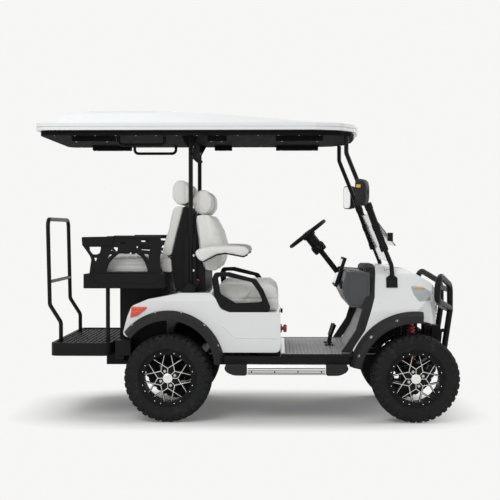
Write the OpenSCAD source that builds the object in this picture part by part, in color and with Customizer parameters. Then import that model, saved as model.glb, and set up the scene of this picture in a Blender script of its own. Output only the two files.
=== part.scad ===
// Lifted four-seat electric utility vehicle with a rear-facing back seat.
// +X is forward, +Y is the driver's left, +Z is up. The origin is on the ground under the middle.

/* [Overall] */
// Distance between the axles
wheelbase = 1650; // [1600:10:1800]
// Front axle to the front of the brush guard
front_overhang = 305; // [295:5:330]
// Rear axle to the rear edge of the roof
rear_overhang = 895; // [880:5:960]
// Distance between the tyre centres across the vehicle
track = 1070; // [1050:5:1120]
// Width of the body over its lower sides
body_w = 1120; // [1080:5:1160]
// Thickness of the moulded body panels
wall = 8; // [6:1:10]
// Height of the floor mat over the ground
floor_z = 451; // [440:1:470]
// Height of the front seat deck over the ground
deck_z = 729; // [715:1:745]
// Height of the underside of the roof rim
roof_z = 1948; // [1920:1:2050]

/* [Wheels] */
// Tyre diameter over the lugs
tyre_d = 584; // [570:2:592]
// Tyre width across the sidewalls
tyre_w = 240; // [230:2:246]
// Depth of the grooves between the shoulder lugs
lug_h = 13; // [8:1:16]
// Width of the groove between two lugs
lug_groove = 15; // [10:1:18]
// Lugs round each shoulder of a tyre
lug_count = 24; // [18:2:28]
// Diameter of the bead seat of the rim
bead_d = 356; // [350:1:360]
// Height of the rim flange over the bead seat
flange_h = 9; // [6:1:12]
// Width of the rim over its flanges
rim_w = 196; // [184:2:204]
// Thickness of the rim barrel
barrel_t = 9; // [6:1:12]
// Diameter of the rim's centre plate
hub_d = 150; // [142:1:156]
// Width of a spoke arm
spoke_w = 12; // [10:1:14]
// Thickness of the spokes across the wheel
spoke_t = 16; // [12:1:20]
// Diameter of the centre cap
cap_d = 58; // [50:1:62]
// Forks of the spoke pattern
fork_count = 8; // [6:1:9]

/* [Running gear] */
// Kingpin axis to the tyre centre
kingpin_offset = 60; // [50:1:70]
// Diameter of the kingpin
kingpin_d = 22; // [18:1:26]
// Diameter of the front spindle
spindle_d = 32; // [26:1:36]
// Height of the knuckle between its arms
knuckle_h = 120; // [110:2:136]
// Diameter of the suspension arm tubes
arm_d = 26; // [22:1:30]
// Width of a chassis rail
rail_w = 50; // [40:1:60]
// Height of a chassis rail
rail_h = 75; // [60:1:80]
// Distance between the rail centres
rail_gap = 400; // [380:5:420]
// Height of the cross members that carry the floor
cross_h = 24; // [18:1:30]
// Diameter of the coil springs
coil_d = 56; // [48:1:60]
// Diameter of the coil wire
coil_wire = 10; // [8:1:11]
// Diameter of the rear axle tube
axle_d = 70; // [60:1:76]
// Diameter of the differential housing
diff_d = 190; // [170:2:200]
// Diameter of the drive motor
motor_d = 150; // [140:2:156]
// Length of the drive motor
motor_l = 210; // [180:5:220]
// Width of a rear leaf spring
leaf_w = 50; // [44:1:56]
// Thickness of the leaf pack
leaf_t = 16; // [12:1:20]

/* [Floor and sills] */
// Thickness of the floor pan with its mat
floor_t = 14; // [10:1:18]
// Width of the floor pan
floor_w = 1200; // [1160:5:1220]
// Height of the sill under the floor
sill_h = 48; // [42:1:56]
// Width of a running board
board_w = 130; // [110:2:140]
// Height of a running board
board_h = 74; // [60:1:80]
// Length of the aluminium part of a running board
board_l = 522; // [480:2:560]
// Length of a running board end cap
board_cap_l = 152; // [130:2:160]

/* [Front body] */
// Length of the cowl
cowl_l = 630; // [610:5:650]
// Height of the cowl over its lower edge
cowl_h = 580; // [565:5:595]
// Front axle to the rear edge of the cowl
cowl_back = 430; // [420:2:440]
// Radius of the front wheel opening
front_arch_r = 378; // [368:1:386]
// Width of a front flare across the vehicle
flare_w = 130; // [110:2:140]
// Depth of the flare band
flare_t = 62; // [54:1:70]
// Width of the dark trim round the cowl's rear edge
trim_w = 62; // [52:1:70]
// Length of the dashboard pod
dash_l = 194; // [180:2:204]
// Height of the dashboard pod
dash_h = 287; // [270:1:300]
// Width of the dashboard
dash_w = 1000; // [960:5:1040]
// Height of the display
screen_h = 224; // [200:2:236]
// Width of the display
screen_w = 330; // [280:5:360]
// Thickness of the display
screen_t = 26; // [20:1:32]
// Length of a headlamp
lamp_l = 150; // [136:2:160]
// Height of a headlamp
lamp_h = 100; // [90:1:108]
// Diameter of the brush guard's tubes
guard_d = 42; // [36:1:46]
// Distance between the brush guard's uprights
guard_gap = 430; // [400:5:460]
// Height of the brush guard
guard_h = 432; // [410:2:450]

/* [Rear body] */
// Length of the rear body
rear_l = 1062; // [1050:2:1080]
// Height of the rear body
rear_h = 398; // [390:1:406]
// Radius of the rear wheel opening
rear_arch_r = 324; // [316:1:330]
// Rise of the rear wheel opening's centre over the axle
rear_arch_rise = 72; // [60:1:80]
// Length of the rear footboard
footboard_l = 405; // [380:5:430]
// Width of the rear footboard
footboard_w = 1200; // [1160:5:1220]
// Height of the rear footboard
footboard_h = 87; // [76:1:94]
// Diameter of the grab rail's tube
rail_d = 28; // [24:1:32]
// Distance between the sides of the grab rail
hoop_w = 760; // [720:5:800]
// Height of the grab rail over the footboard
hoop_h = 830; // [800:5:860]
// Diameter of the hole for the tow pin
hitch_bore_d = 19; // [16:1:22]

/* [Seats] */
// Length of the front seat cushion
cushion_l = 446; // [430:2:456]
// Height of the front seat cushion
cushion_h = 180; // [165:1:188]
// Width of the front bench
bench_w = 910; // [880:5:920]
// Height of the front backrests
back_h = 394; // [380:2:404]
// Thickness of a backrest
back_t = 96; // [84:1:100]
// Height of a headrest
headrest_h = 158; // [140:2:166]
// Width of a headrest
headrest_w = 300; // [270:5:320]
// Gap between two seats side by side
seat_gap = 20; // [12:1:30]
// Length of the rear seat cushion
rear_cushion_l = 440; // [420:2:450]
// Height of the rear seat cushion
rear_cushion_h = 118; // [105:1:124]
// Width of the rear bench
rear_bench_w = 1010; // [980:5:1020]
// Length of the rear seat tray
tray_l = 540; // [520:5:560]
// Height of the rear seat tray
tray_h = 94; // [84:1:104]
// Width of the rear seat tray
tray_w = 1160; // [1140:5:1180]
// Height of the rear armrest panels
side_h = 257; // [240:1:270]
// Thickness of the rear armrest panels
side_t = 46; // [38:1:54]
// Length of a front armrest
armrest_l = 375; // [350:5:395]
// Height of a front armrest
armrest_h = 115; // [100:1:125]
// Width of a front armrest
armrest_w = 64; // [54:1:72]
// Thickness of a hip restraint
hip_t = 44; // [36:1:50]
// Height of a hip restraint
hip_h = 268; // [255:1:280]
// Length of a hip restraint
hip_l = 393; // [375:1:405]

/* [Roof and screen] */
// Length of the roof
roof_l = 2188; // [2150:5:2230]
// Width of the roof
roof_w = 1200; // [1160:5:1260]
// Height of the roof rim
rim_h = 47; // [40:1:54]
// Height of the crown over the rim
crown_h = 101; // [80:1:115]
// Height of the liner under the rim
liner_h = 33; // [26:1:40]
// Diameter of the roof pillars' tubes
pillar_d = 30; // [26:1:34]
// Distance between the pillars across the vehicle
pillar_gap = 880; // [850:5:910]
// Thickness of the windscreen
glass_t = 6; // [4:1:8]
// Height of a mirror
mirror_h = 172; // [150:2:180]
// Width of a mirror
mirror_w = 150; // [130:2:170]
// Thickness of a mirror
mirror_t = 97; // [88:1:104]

/* [Controls] */
// Outside diameter of the steering wheel
wheel_d = 330; // [310:2:350]
// Diameter of the steering wheel's rim section
grip_d = 27; // [24:1:32]
// Diameter of the steering column
column_d = 40; // [34:1:46]
// Slope of the steering column from the upright
column_tilt = 38; // [30:1:45]
// Driver's seat centre from the vehicle's middle
driver_y = 235; // [220:5:260]

/* [Hidden] */
$fn = 48;
// Clearance between pieces that move or only meet
gap = 0.5;
// Overrun of cutting shapes past the faces that they cut
over = 20;
// Colours of the finishes
white_paint = "whitesmoke";
black_plastic = "#1d1e20";
grey_plastic = "#3a3c40";
leather = "#d9d5cd";
steel = "#2b2c2e";
bright = "silver";

// Places of the axles
length = wheelbase + front_overhang + rear_overhang;
front_x = length / 2 - front_overhang;
rear_x = front_x - wheelbase;
axle_z = tyre_d / 2;
body_half = body_w / 2;
// Front of the rear body and of the front seat deck
deck_front_x = rear_x + rear_l * 0.708;
// Rear edge of the cowl at the floor
cowl_x = front_x - cowl_back;
cowl_z = floor_z + floor_t * 0.7;
// Chassis heights
cross_top = floor_z - floor_t;
rail_top = cross_top - cross_h;
rail_z = rail_top - rail_h;
rail_y = rail_gap / 2;

// Points of an outline, given as shares of a length and a height, from a corner
function placed(shares, x, z, l, h) = [for (p = shares) [x + p[0] * l, z + p[1] * h]];
// The same points mirrored across the first axis, in the order that closes the outline
function closed_by_mirror(points) = concat(points, [for (i = [len(points) - 1:-1:0]) [points[i][0], -points[i][1]]]);
function closed_across(points) = concat(points, [for (i = [len(points) - 1:-1:0]) [-points[i][0], points[i][1]]]);
function unit(v) = v / norm(v);
function turn(p, q, s) = acos(unit(q - p) * unit(s - q));
function trimmed(p, q, s, bend) = bend * tan(turn(p, q, s) / 2);
// Outline with every corner cut by a short arc of a radius that its sides can hold
function rounded(points, radius, steps = 4) = let(n = len(points)) [for (i = [0:n - 1])
    let(p = points[(i + n - 1) % n], q = points[i], s = points[(i + 1) % n],
        cut = min(radius * tan(turn(p, q, s) / 2), norm(q - p) * 0.45, norm(s - q) * 0.45),
        a = q + unit(p - q) * cut, b = q + unit(s - q) * cut)
    for (k = [0:steps]) let(t = k / steps) a * (1 - t) * (1 - t) + q * 2 * t * (1 - t) + b * t * t];

// An outline in X and Z, carried along Y
module along_y(points, y0, y1) {
    translate([0, y1, 0]) rotate([90, 0, 0]) linear_extrude(y1 - y0) polygon(points);
}
// An outline in X and Y, carried along Z
module along_z(points, z0, z1) {
    translate([0, 0, z0]) linear_extrude(z1 - z0) polygon(points);
}
// An outline in Y and Z, carried along X
module along_x(points, x0, x1) {
    translate([x0, 0, 0]) rotate([90, 0, 90]) linear_extrude(x1 - x0) polygon(points);
}
module block(low, high) {
    translate(low) cube(high - low);
}
module both_sides() {
    children();
    mirror([0, 1, 0]) children();
}
module aimed(d) {
    rotate([0, acos(d[2] / norm(d)), atan2(d[1], d[0])]) children();
}
module rod(a, b, d) {
    translate(a) aimed(b - a) cylinder(h = norm(b - a), d = d);
}
// A bend laps over the straight tubes at its ends and is a little wider than they are
lap_share = 0.08;
swell_share = 1.015;
module elbow(p, q, s, d, bend) {
    way = unit(q - p);
    pole = unit(cross(way, unit(s - q)));
    inward = cross(pole, way);
    middle = q - way * trimmed(p, q, s, bend) + inward * bend;
    lap = d * lap_share / bend * 180 / PI;
    multmatrix([for (i = [0:2]) [-inward[i], way[i], pole[i], middle[i]]]) rotate([0, 0, -lap])
        rotate_extrude(angle = turn(p, q, s) + 2 * lap) translate([bend, 0]) circle(d = d * swell_share);
}
// A round tube bent at each inner point of its run
module bent_tube(run, d, bend) {
    last = len(run) - 1;
    for (i = [0:last - 1]) {
        way = unit(run[i + 1] - run[i]);
        a = i == 0 ? run[0] : run[i] + way * trimmed(run[i - 1], run[i], run[i + 1], bend);
        b = i + 1 == last ? run[last]
            : run[i + 1] - way * trimmed(run[i], run[i + 1], run[i + 2], bend);
        rod(a, b, d);
    }
    if (last > 1)
        for (i = [1:last - 1])
            elbow(run[i - 1], run[i], run[i + 1], d, bend);
}

// Wheels
bead_r = bead_d / 2;
flange_r = bead_r + flange_h;
flange_w = flange_h * 0.7;
barrel_r = bead_r - barrel_t;
lip_r = bead_r * 0.885;
lip_w = flange_w * 2;
// Tyre section from the flange to the tread: shares of its height and of its half width
tyre_shares = [[0, 0.84], [0.12, 0.93], [0.42, 1], [0.66, 0.99], [0.82, 0.95], [0.95, 0.86], [1, 0.72]];
bead_half = rim_w / 2 - flange_w - gap;
face_y = rim_w / 2 - lip_w * 1.6;
fork_r = hub_d / 2 * 0.89;
fork_cross_r = bead_r * 0.545;
bore_d = spindle_d + 2 * gap;
hub_sleeve_d = spindle_d * 2.4;
hub_sleeve_l = spindle_d * 1.5;
// Inner end of the wheel hub from the tyre centre
hub_back_y = face_y - spoke_t - hub_sleeve_l;
groove_tilt = 14;

module wheel_place(x, side) {
    translate([x, side * track / 2, axle_z]) mirror([0, side < 0 ? 1 : 0, 0]) children();
}
module turned() {
    rotate([-90, 0, 0]) rotate_extrude() children();
}
module tyre() {
    rise = tyre_d / 2 - flange_r - gap;
    side = concat([[bead_r + gap, bead_half], [flange_r + gap, bead_half]],
        [for (s = tyre_shares) [flange_r + gap + rise * s[0], tyre_w / 2 * s[1]]]);
    groove_from = tyre_w / 2 * 0.62;
    color(black_plastic) difference() {
        turned() polygon(closed_by_mirror(side));
        for (hand = [-1, 1], i = [0:lug_count - 1])
            rotate([0, (i + hand / 4) * 360 / lug_count, 0])
                translate([0, hand * groove_from, tyre_d / 2 - lug_h])
                    rotate([0, 0, (i % 2 == 0 ? 1 : -1) * groove_tilt])
                        translate([-lug_groove / 2, hand > 0 ? 0 : -tyre_w / 2, 0])
                            cube([lug_groove, tyre_w / 2, lug_h + over]);
    }
}
module rim() {
    half = rim_w / 2;
    barrel = [[barrel_r, -half], [flange_r, -half], [flange_r, flange_w - half], [bead_r, flange_w - half],
        [bead_r, half - flange_w], [flange_r, half - flange_w], [flange_r, half], [lip_r, half],
        [lip_r, face_y - spoke_t - lip_w], [barrel_r, face_y - spoke_t - lip_w * 2]];
    color(bright) difference() {
        union() {
            turned() polygon(barrel);
            for (i = [0:fork_count - 1], hand = [-1, 1])
                rotate([0, i * 360 / fork_count, 0]) spoke(hand);
            translate([0, face_y - spoke_t - gap, 0]) rotate([-90, 0, 0]) cylinder(h = spoke_t + 2 * gap, d = hub_d);
            translate([0, hub_back_y, 0]) rotate([-90, 0, 0])
                cylinder(h = hub_sleeve_l + spoke_t / 2, d = hub_sleeve_d);
            translate([0, face_y - spoke_t / 2, 0]) rotate([-90, 0, 0]) cylinder(h = spoke_t, d = cap_d);
        }
        translate([0, hub_back_y - over, 0]) rotate([-90, 0, 0])
            cylinder(h = hub_sleeve_l + over, d = bore_d);
    }
}
// One arm of a fork, from the hub through the crossing with its neighbour to the lip
module spoke(hand) {
    half_step = 180 / fork_count;
    along = [fork_cross_r * cos(half_step) - fork_r, fork_cross_r * sin(half_step)];
    reach = (sqrt(pow(fork_r * along[0], 2) + (along * along) * (pow(lip_r, 2) - pow(fork_r, 2)))
        - fork_r * along[0]) / (along * along);
    // Arms of one hand lie a little inside the faces of those that they cross
    sunk = hand > 0 ? 0 : gap;
    translate([fork_r, face_y - spoke_t, 0]) rotate([0, -hand * atan2(along[1], along[0]), 0])
        translate([-spoke_w / 2, sunk, -spoke_w / 2])
            cube([norm(along) * reach + spoke_w * 1.4, spoke_t - 2 * sunk, spoke_w]);
}

// Running gear
kingpin_y = track / 2 - kingpin_offset;
boss_h = kingpin_d * 1.9;
boss_d = kingpin_d * 2.1;
pin_bore_d = kingpin_d + 2 * gap;
rail_out_y = rail_y + rail_w / 2;
bush_d = arm_d * 1.4;
bush_l = arm_d * 1.8;
bush_y = rail_out_y + gap + bush_d / 2;
arm_spread = track * 0.12;
// Outer and inner ends of the suspension arms: heights of the lower and the upper pair
lower_ball_z = axle_z - knuckle_h / 2 - gap - boss_h / 2;
upper_ball_z = axle_z + knuckle_h / 2 + gap + boss_h / 2;
lower_bush_z = rail_z + bush_d / 2;
upper_bush_z = rail_top - bush_d / 2;
// Foot of the coil-over on the lower arms, as a share of the way in from the kingpin
foot_share = 0.45;
foot_y = kingpin_y + (bush_y - kingpin_y) * foot_share;
foot_z = (lower_ball_z - boss_h / 2) * (1 - foot_share) + lower_bush_z * foot_share;
tower_z = axle_z + tyre_d * 0.6;
tower_t = wall * 1.6;
tower_y = foot_y * 0.89;
tower_half = coil_d;
// Coil turns along the damper
coil_count = 12;
rail_rear_x = rear_x - tyre_d * 0.8;
rail_front_x = front_x + front_overhang * 0.5;
cross_w = rail_w * 1.2;
// Cross members along the frame: place as a share of the rails' length, reach as a share of the body's half width
cross_shares = [[0.06, 1], [0.3, 0.6], [0.46, 1], [0.62, 1], [0.78, 0.5], [0.975, 0.42]];
// Running board and its brackets
board_x = rear_x + wheelbase * 0.479;
board_top = floor_z - floor_t - sill_h - gap;
board_y = floor_w / 2 - board_w * 0.55;
bracket_shares = [-0.3, 0.3];
// Rear springs and axle
leaf_y = rail_out_y + leaf_w * 1.3;
leaf_half_l = tyre_d * 0.62;
leaf_pad_h = leaf_t * 0.8;
leaf_z = axle_z + axle_d / 2 + gap + leaf_pad_h;
leaf_rise = rail_z - leaf_z + rail_h * 0.35;
axle_end_y = track / 2 + hub_back_y - spindle_d;
motor_x = rear_x + diff_d / 2 + motor_d / 2 - motor_d * 0.08;
motor_y = diff_d * 0.36 + gap;
motor_z = rail_z - wall - motor_d / 2;
battery_l = rear_l * 0.33;
battery_x = deck_front_x - wall - battery_l - rail_w;
battery_top = deck_z - rail_w;
battery_half = rail_gap * 0.8;

module chassis_rails() {
    color(steel) both_sides() union() {
        block([rail_rear_x, rail_y - rail_w / 2, rail_z], [rail_front_x, rail_out_y, rail_top]);
        block([front_x - tower_half, rail_out_y - tower_t, rail_top - rail_w],
            [front_x + tower_half, rail_out_y, tower_z + tower_t]);
        block([front_x - tower_half, rail_out_y - tower_t, tower_z],
            [front_x + tower_half, tower_y + coil_d * 0.6, tower_z + tower_t]);
        block([rail_front_x - tower_t, rail_y - rail_w / 2, rail_z], [rail_front_x, rail_out_y, guard_foot_z + guard_h * 0.3]);
        for (end = [-1, 1])
            block([rear_x + end * leaf_half_l - leaf_w / 2, rail_y, leaf_z + leaf_rise + leaf_t + gap],
                [rear_x + end * leaf_half_l + leaf_w / 2, leaf_y + leaf_w / 2, rail_top]);
    }
}
module cross_members() {
    rail_l = rail_front_x - rail_rear_x;
    half = body_half - wall - gap;
    color(steel) {
        for (s = cross_shares)
            block([rail_rear_x + rail_l * s[0] - cross_w / 2, -half * s[1], rail_top],
                [rail_rear_x + rail_l * s[0] + cross_w / 2, half * s[1], cross_top]);
        both_sides() for (s = bracket_shares)
            block([board_x + board_l * s - rail_w / 2, rail_out_y, rail_z],
                [board_x + board_l * s + rail_w / 2, board_y - gap, rail_z + rail_w * 0.5]);
    }
}
// One pair of arm tubes between the kingpin and the rail, with its boss and bushes
module arm_pair(ball_z, bush_z, drop) {
    ball = [front_x, kingpin_y, ball_z];
    difference() {
        union() {
            translate(ball - [0, 0, boss_h / 2]) cylinder(h = boss_h, d = boss_d);
            for (end = [-1, 1]) {
                bush = [front_x + end * arm_spread, bush_y, bush_z];
                rod(ball - [0, 0, drop], bush, arm_d);
                translate(bush - [bush_l / 2, 0, 0]) rotate([0, 90, 0]) cylinder(h = bush_l, d = bush_d);
            }
        }
        translate(ball - [0, 0, boss_h]) cylinder(h = boss_h * 2, d = pin_bore_d);
    }
}
module front_arms() {
    foot_half = arm_spread * foot_share;
    color(steel) both_sides() {
        arm_pair(upper_ball_z, upper_bush_z, 0);
        union() {
            arm_pair(lower_ball_z, lower_bush_z, boss_h / 2);
            translate([front_x - foot_half, foot_y, foot_z]) rotate([0, 90, 0])
                cylinder(h = foot_half * 2, d = arm_d);
        }
    }
}
module front_coilovers() {
    foot = [front_x, foot_y, foot_z + arm_d / 2 + gap];
    top = [front_x, tower_y, tower_z - gap * 2];
    way = unit(top - foot);
    damper_l = norm(top - foot);
    coil_from = damper_l * 0.26;
    coil_step = damper_l * 0.66 / coil_count;
    color("firebrick") both_sides() translate(foot + way * coil_wire * 0.1) aimed(way) union() {
        cylinder(h = damper_l * 0.5, d = coil_wire * 2);
        translate([0, 0, coil_from]) cylinder(h = damper_l - coil_from - coil_wire * 0.27, d = coil_d - coil_wire * 2);
        for (i = [0:coil_count])
            translate([0, 0, coil_from + i * coil_step]) rotate_extrude()
                translate([coil_d / 2 - coil_wire / 2, 0]) circle(d = coil_wire * 1.15);
    }
}
module knuckle() {
    plate_t = spindle_d * 0.3;
    color(steel) translate([0, -kingpin_offset, 0]) union() {
        translate([0, 0, -knuckle_h / 2 - boss_h]) cylinder(h = knuckle_h + boss_h * 2, d = kingpin_d);
        translate([0, 0, -knuckle_h / 2]) cylinder(h = knuckle_h, d = boss_d);
        rotate([-90, 0, 0]) cylinder(h = kingpin_offset + face_y - spoke_t - gap, d = spindle_d);
        translate([0, kingpin_offset + hub_back_y - plate_t - gap, 0]) rotate([-90, 0, 0])
            cylinder(h = plate_t, d = hub_d * 1.3);
        translate([0, 0, knuckle_h * 0.2])
            bent_tube([[0, 0, 0], [0, -boss_d * 0.85, 0], [-hub_d * 0.7, -boss_d, 0]], arm_d, arm_d);
    }
}
module rear_axle() {
    color(steel) union() {
        translate([rear_x, -axle_end_y, axle_z]) rotate([-90, 0, 0]) cylinder(h = axle_end_y * 2, d = axle_d);
        translate([rear_x, -track / 2 - face_y + spoke_t + gap, axle_z]) rotate([-90, 0, 0])
            cylinder(h = track + 2 * (face_y - spoke_t - gap), d = spindle_d);
        translate([rear_x, -diff_d * 0.36, axle_z]) rotate([-90, 0, 0]) cylinder(h = diff_d * 0.72, d = diff_d);
        block([rear_x, -diff_d * 0.36, axle_z - diff_d * 0.36], [motor_x, diff_d * 0.36, axle_z + diff_d * 0.36]);
    }
}
module drive_motor() {
    color(grey_plastic) translate([motor_x, motor_y, motor_z]) rotate([-90, 0, 0]) union() {
        cylinder(h = motor_l * 0.9, d = motor_d);
        cylinder(h = motor_l, d = motor_d * 0.7);
    }
}
module leaf_springs() {
    leaf_shares = [[-1, 1], [-0.55, 0.28], [0, 0], [0.55, 0.28], [1, 1]];
    upper = placed(leaf_shares, rear_x, leaf_z + leaf_t, leaf_half_l, leaf_rise);
    lower = placed(leaf_shares, rear_x, leaf_z, leaf_half_l, leaf_rise);
    pad_half = axle_d / 2;
    color(steel) both_sides() union() {
        along_y(concat(upper, [for (i = [len(lower) - 1:-1:0]) lower[i]]), leaf_y - leaf_w / 2, leaf_y + leaf_w / 2);
        block([rear_x - pad_half, leaf_y - leaf_w / 2, leaf_z - leaf_pad_h],
            [rear_x + pad_half, leaf_y + leaf_w / 2, leaf_z + leaf_t]);
    }
}
module battery_pack() {
    color(grey_plastic) block([battery_x, -battery_half, cross_top], [battery_x + battery_l, battery_half, battery_top]);
}

// Floor and sills
toe_shares = [[0, 0], [0.5, 0.42], [1, 1]];
toe_h = cowl_h * 0.53;
toe_l = cowl_l * 0.245;
module floor_pan() {
    toe = placed(toe_shares, cowl_x, cross_top, toe_l, toe_h);
    toe_half = body_half - trim_w;
    color(grey_plastic) union() {
        block([deck_front_x + gap, -floor_w / 2, cross_top], [cowl_x, floor_w / 2, floor_z]);
        along_y(concat(toe, [for (i = [len(toe) - 1:-1:0]) toe[i] - [floor_t, 0]]), -toe_half, toe_half);
    }
}
module sills() {
    sill_rear = rear_x + rear_arch_r + flare_t * 0.85 + 2 * gap;
    sill_front = front_x - front_arch_r - flare_t * 1.08 - 2 * gap;
    color(black_plastic) both_sides()
        block([sill_rear, body_half + gap, cross_top - sill_h], [sill_front, floor_w / 2, cross_top - gap]);
}
board_low_shares = [[0, 1], [0, 0.35], [0.12, 0.12], [0.5, 0], [0.94, 0.16], [1, 0.42], [1, 0.7], [0.9, 1]];
module board_section(x0, x1) {
    along_x(placed(board_low_shares, board_y, board_top - board_h, board_w, board_h), x0, x1);
}
module running_boards() {
    color(bright) both_sides() difference() {
        board_section(board_x - board_l / 2, board_x + board_l / 2);
        for (s = [0.3, 0.62])
            block([board_x - board_l, board_y + board_w * 0.985, board_top - board_h * s - wall * 0.5],
                [board_x + board_l, board_y + board_w + over, board_top - board_h * s + wall * 0.5]);
    }
}
module board_caps() {
    color(black_plastic) both_sides() {
        board_section(board_x + board_l / 2 + gap, board_x + board_l / 2 + board_cap_l);
        board_section(board_x - board_l / 2 - board_cap_l, board_x - board_l / 2 - gap);
    }
}

// Front body: side and plan outlines as shares of the cowl's length, height and half width
cowl_nose_shares = [[0.285, 1], [0.57, 0.965], [0.73, 0.89], [0.865, 0.8], [0.945, 0.71], [1, 0.605],
    [0.975, 0.45], [0.93, 0.25], [0.8, 0.3], [0.5, 0.25], [0.146, 0]];
cowl_edge_shares = [[0, 0], [0.154, 0.253], [0.263, 0.636], [0.28, 0.92], [0.285, 1]];
cowl_plan_shares = [[-0.2, 1], [0.72, 1], [0.86, 0.88], [0.94, 0.66], [0.985, 0.36], [1, 0.12]];
cowl_section_shares = [[1, -0.1], [1, 0.49], [0.94, 0.58], [0.83, 0.74], [0.77, 0.9], [0.66, 0.97], [0.3, 1]];
cowl_round = cowl_h * 0.12;
arch_inner_y = body_half * 0.47;

module cowl_section(inset, x0, x1) {
    along_x(rounded(closed_across(placed(cowl_section_shares, 0, cowl_z, body_half - inset, cowl_h - inset)),
        cowl_round), x0, x1);
}
module cowl_form(inset) {
    side = concat(cowl_nose_shares, [for (i = [0:len(cowl_edge_shares) - 2]) cowl_edge_shares[i]]);
    intersection() {
        along_y(rounded(placed(side, cowl_x, cowl_z, cowl_l - inset, cowl_h - inset), cowl_round), -body_w, body_w);
        along_z(rounded(closed_by_mirror(placed(cowl_plan_shares, cowl_x, 0, cowl_l - inset, body_half - inset)),
            cowl_round), 0, cowl_z + cowl_h * 2);
        cowl_section(inset, cowl_x - over, cowl_x + cowl_l + over);
    }
}
module arch_hole(x, z, r, inner_y) {
    both_sides() translate([x, inner_y, z]) rotate([-90, 0, 0]) cylinder(h = body_w, r = r);
}
// Lamp outline on the cowl's shoulder: shares of the lamp's length and height
lamp_shares = [[0, 1], [0.55, 0.93], [1, 0.56], [0.92, 0.08], [0.33, 0], [0.12, 0.45]];
lamp_x = front_x - lamp_l * 0.13;
lamp_z = cowl_z + cowl_h * 0.587;
lamp_depth = lamp_h * 0.6;
module lamp_prism(grow) {
    along_y(rounded(placed(lamp_shares, lamp_x - grow, lamp_z - grow, lamp_l + 2 * grow, lamp_h + 2 * grow),
        lamp_h * 0.12), body_half * 0.3, body_w);
}
module front_cowl() {
    color(white_paint) difference() {
        cowl_form(0);
        cowl_form(wall);
        translate([-cowl_round, 0, 0]) cowl_form(wall);
        arch_hole(front_x, axle_z, front_arch_r, arch_inner_y);
        both_sides() lamp_prism(gap);
    }
}
module headlamps() {
    color("lightgrey") both_sides() difference() {
        intersection() {
            cowl_form(0);
            lamp_prism(0);
        }
        translate([-lamp_depth, 0, 0]) cowl_form(lamp_depth * 0.5);
    }
}
// Liner behind the front wheels, inside the cowl
module front_liner() {
    liner_t = wall * 0.75;
    liner_out = front_arch_r - gap;
    color(black_plastic) both_sides() intersection() {
        translate([front_x, arch_inner_y, axle_z]) rotate([-90, 0, 0]) difference() {
            cylinder(h = body_half - arch_inner_y, r = liner_out);
            translate([0, 0, -over]) cylinder(h = body_w, r = liner_out - liner_t);
        }
        block([front_x - front_arch_r, 0, cowl_z], [front_x, body_half, axle_z + front_arch_r]);
    }
}
trim_t = trim_w * 0.6;
module cowl_trim() {
    edge = placed(cowl_edge_shares, cowl_x, cowl_z, cowl_l, cowl_h);
    band = concat([for (p = edge) p - [gap, 0]], [for (i = [len(edge) - 1:-1:0]) edge[i] - [trim_w, 0]]);
    color(grey_plastic) difference() {
        intersection() {
            along_y(band, -body_w, body_w);
            cowl_section(0, cowl_x - body_w, cowl_x + cowl_l);
        }
        cowl_section(trim_t, cowl_x - body_w, cowl_x + cowl_l);
        cowl_form(-2 * gap);
    }
}
// Dashboard: shares of its length and height, from its lower rear corner
dash_shares = [[1, 1], [0.42, 0.97], [0.28, 0.86], [0.05, 0.32], [0.14, 0.08], [0.4, 0], [0.78, 0.1]];
dash_x = cowl_x - dash_l * 0.26;
dash_z = cowl_z + cowl_h - trim_t - gap - dash_h;
dash_face = [for (i = [3, 2]) placed(dash_shares, dash_x, dash_z, dash_l * 0.95, dash_h)[i]];
module dash_form(grow) {
    half = dash_w / 2 + grow;
    along_y(rounded(placed(dash_shares, dash_x - grow, dash_z - grow, dash_l * 0.95 + 2 * grow, dash_h + 2 * grow),
        dash_l * 0.1), -half, half);
}
module dashboard() {
    color(black_plastic) intersection() {
        dash_form(0);
        cowl_section(trim_t + gap, dash_x - over, dash_x + cowl_l);
    }
}
module display_screen() {
    way = dash_face[1] - dash_face[0];
    foot = dash_face[0] + way * 0.3;
    color(black_plastic) translate([foot[0], -screen_w / 2, foot[1]]) rotate([0, atan2(way[0], way[1]), 0])
        translate([-screen_t - gap, 0, 0]) cube([screen_t, screen_w, screen_h]);
}
// Flares turned about the wheel: shares of the band's depth and of its width
flare_shares = [[0, 0.86], [0, 1], [0.16, 1], [0.62, 0.78], [1, 0.12], [1, 0], [0.84, 0], [0.56, 0.6], [0.16, 0.82]];
module flare(x, z, r, depth, from, sweep) {
    both_sides() translate([x, body_half + gap, z]) rotate([-90, 0, 0]) rotate([0, 0, -from - sweep])
        rotate_extrude(angle = sweep) polygon(placed(flare_shares, r, 0, depth, flare_w * 0.62));
}
front_flare_from = 83;
front_flare_sweep = 87;
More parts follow.
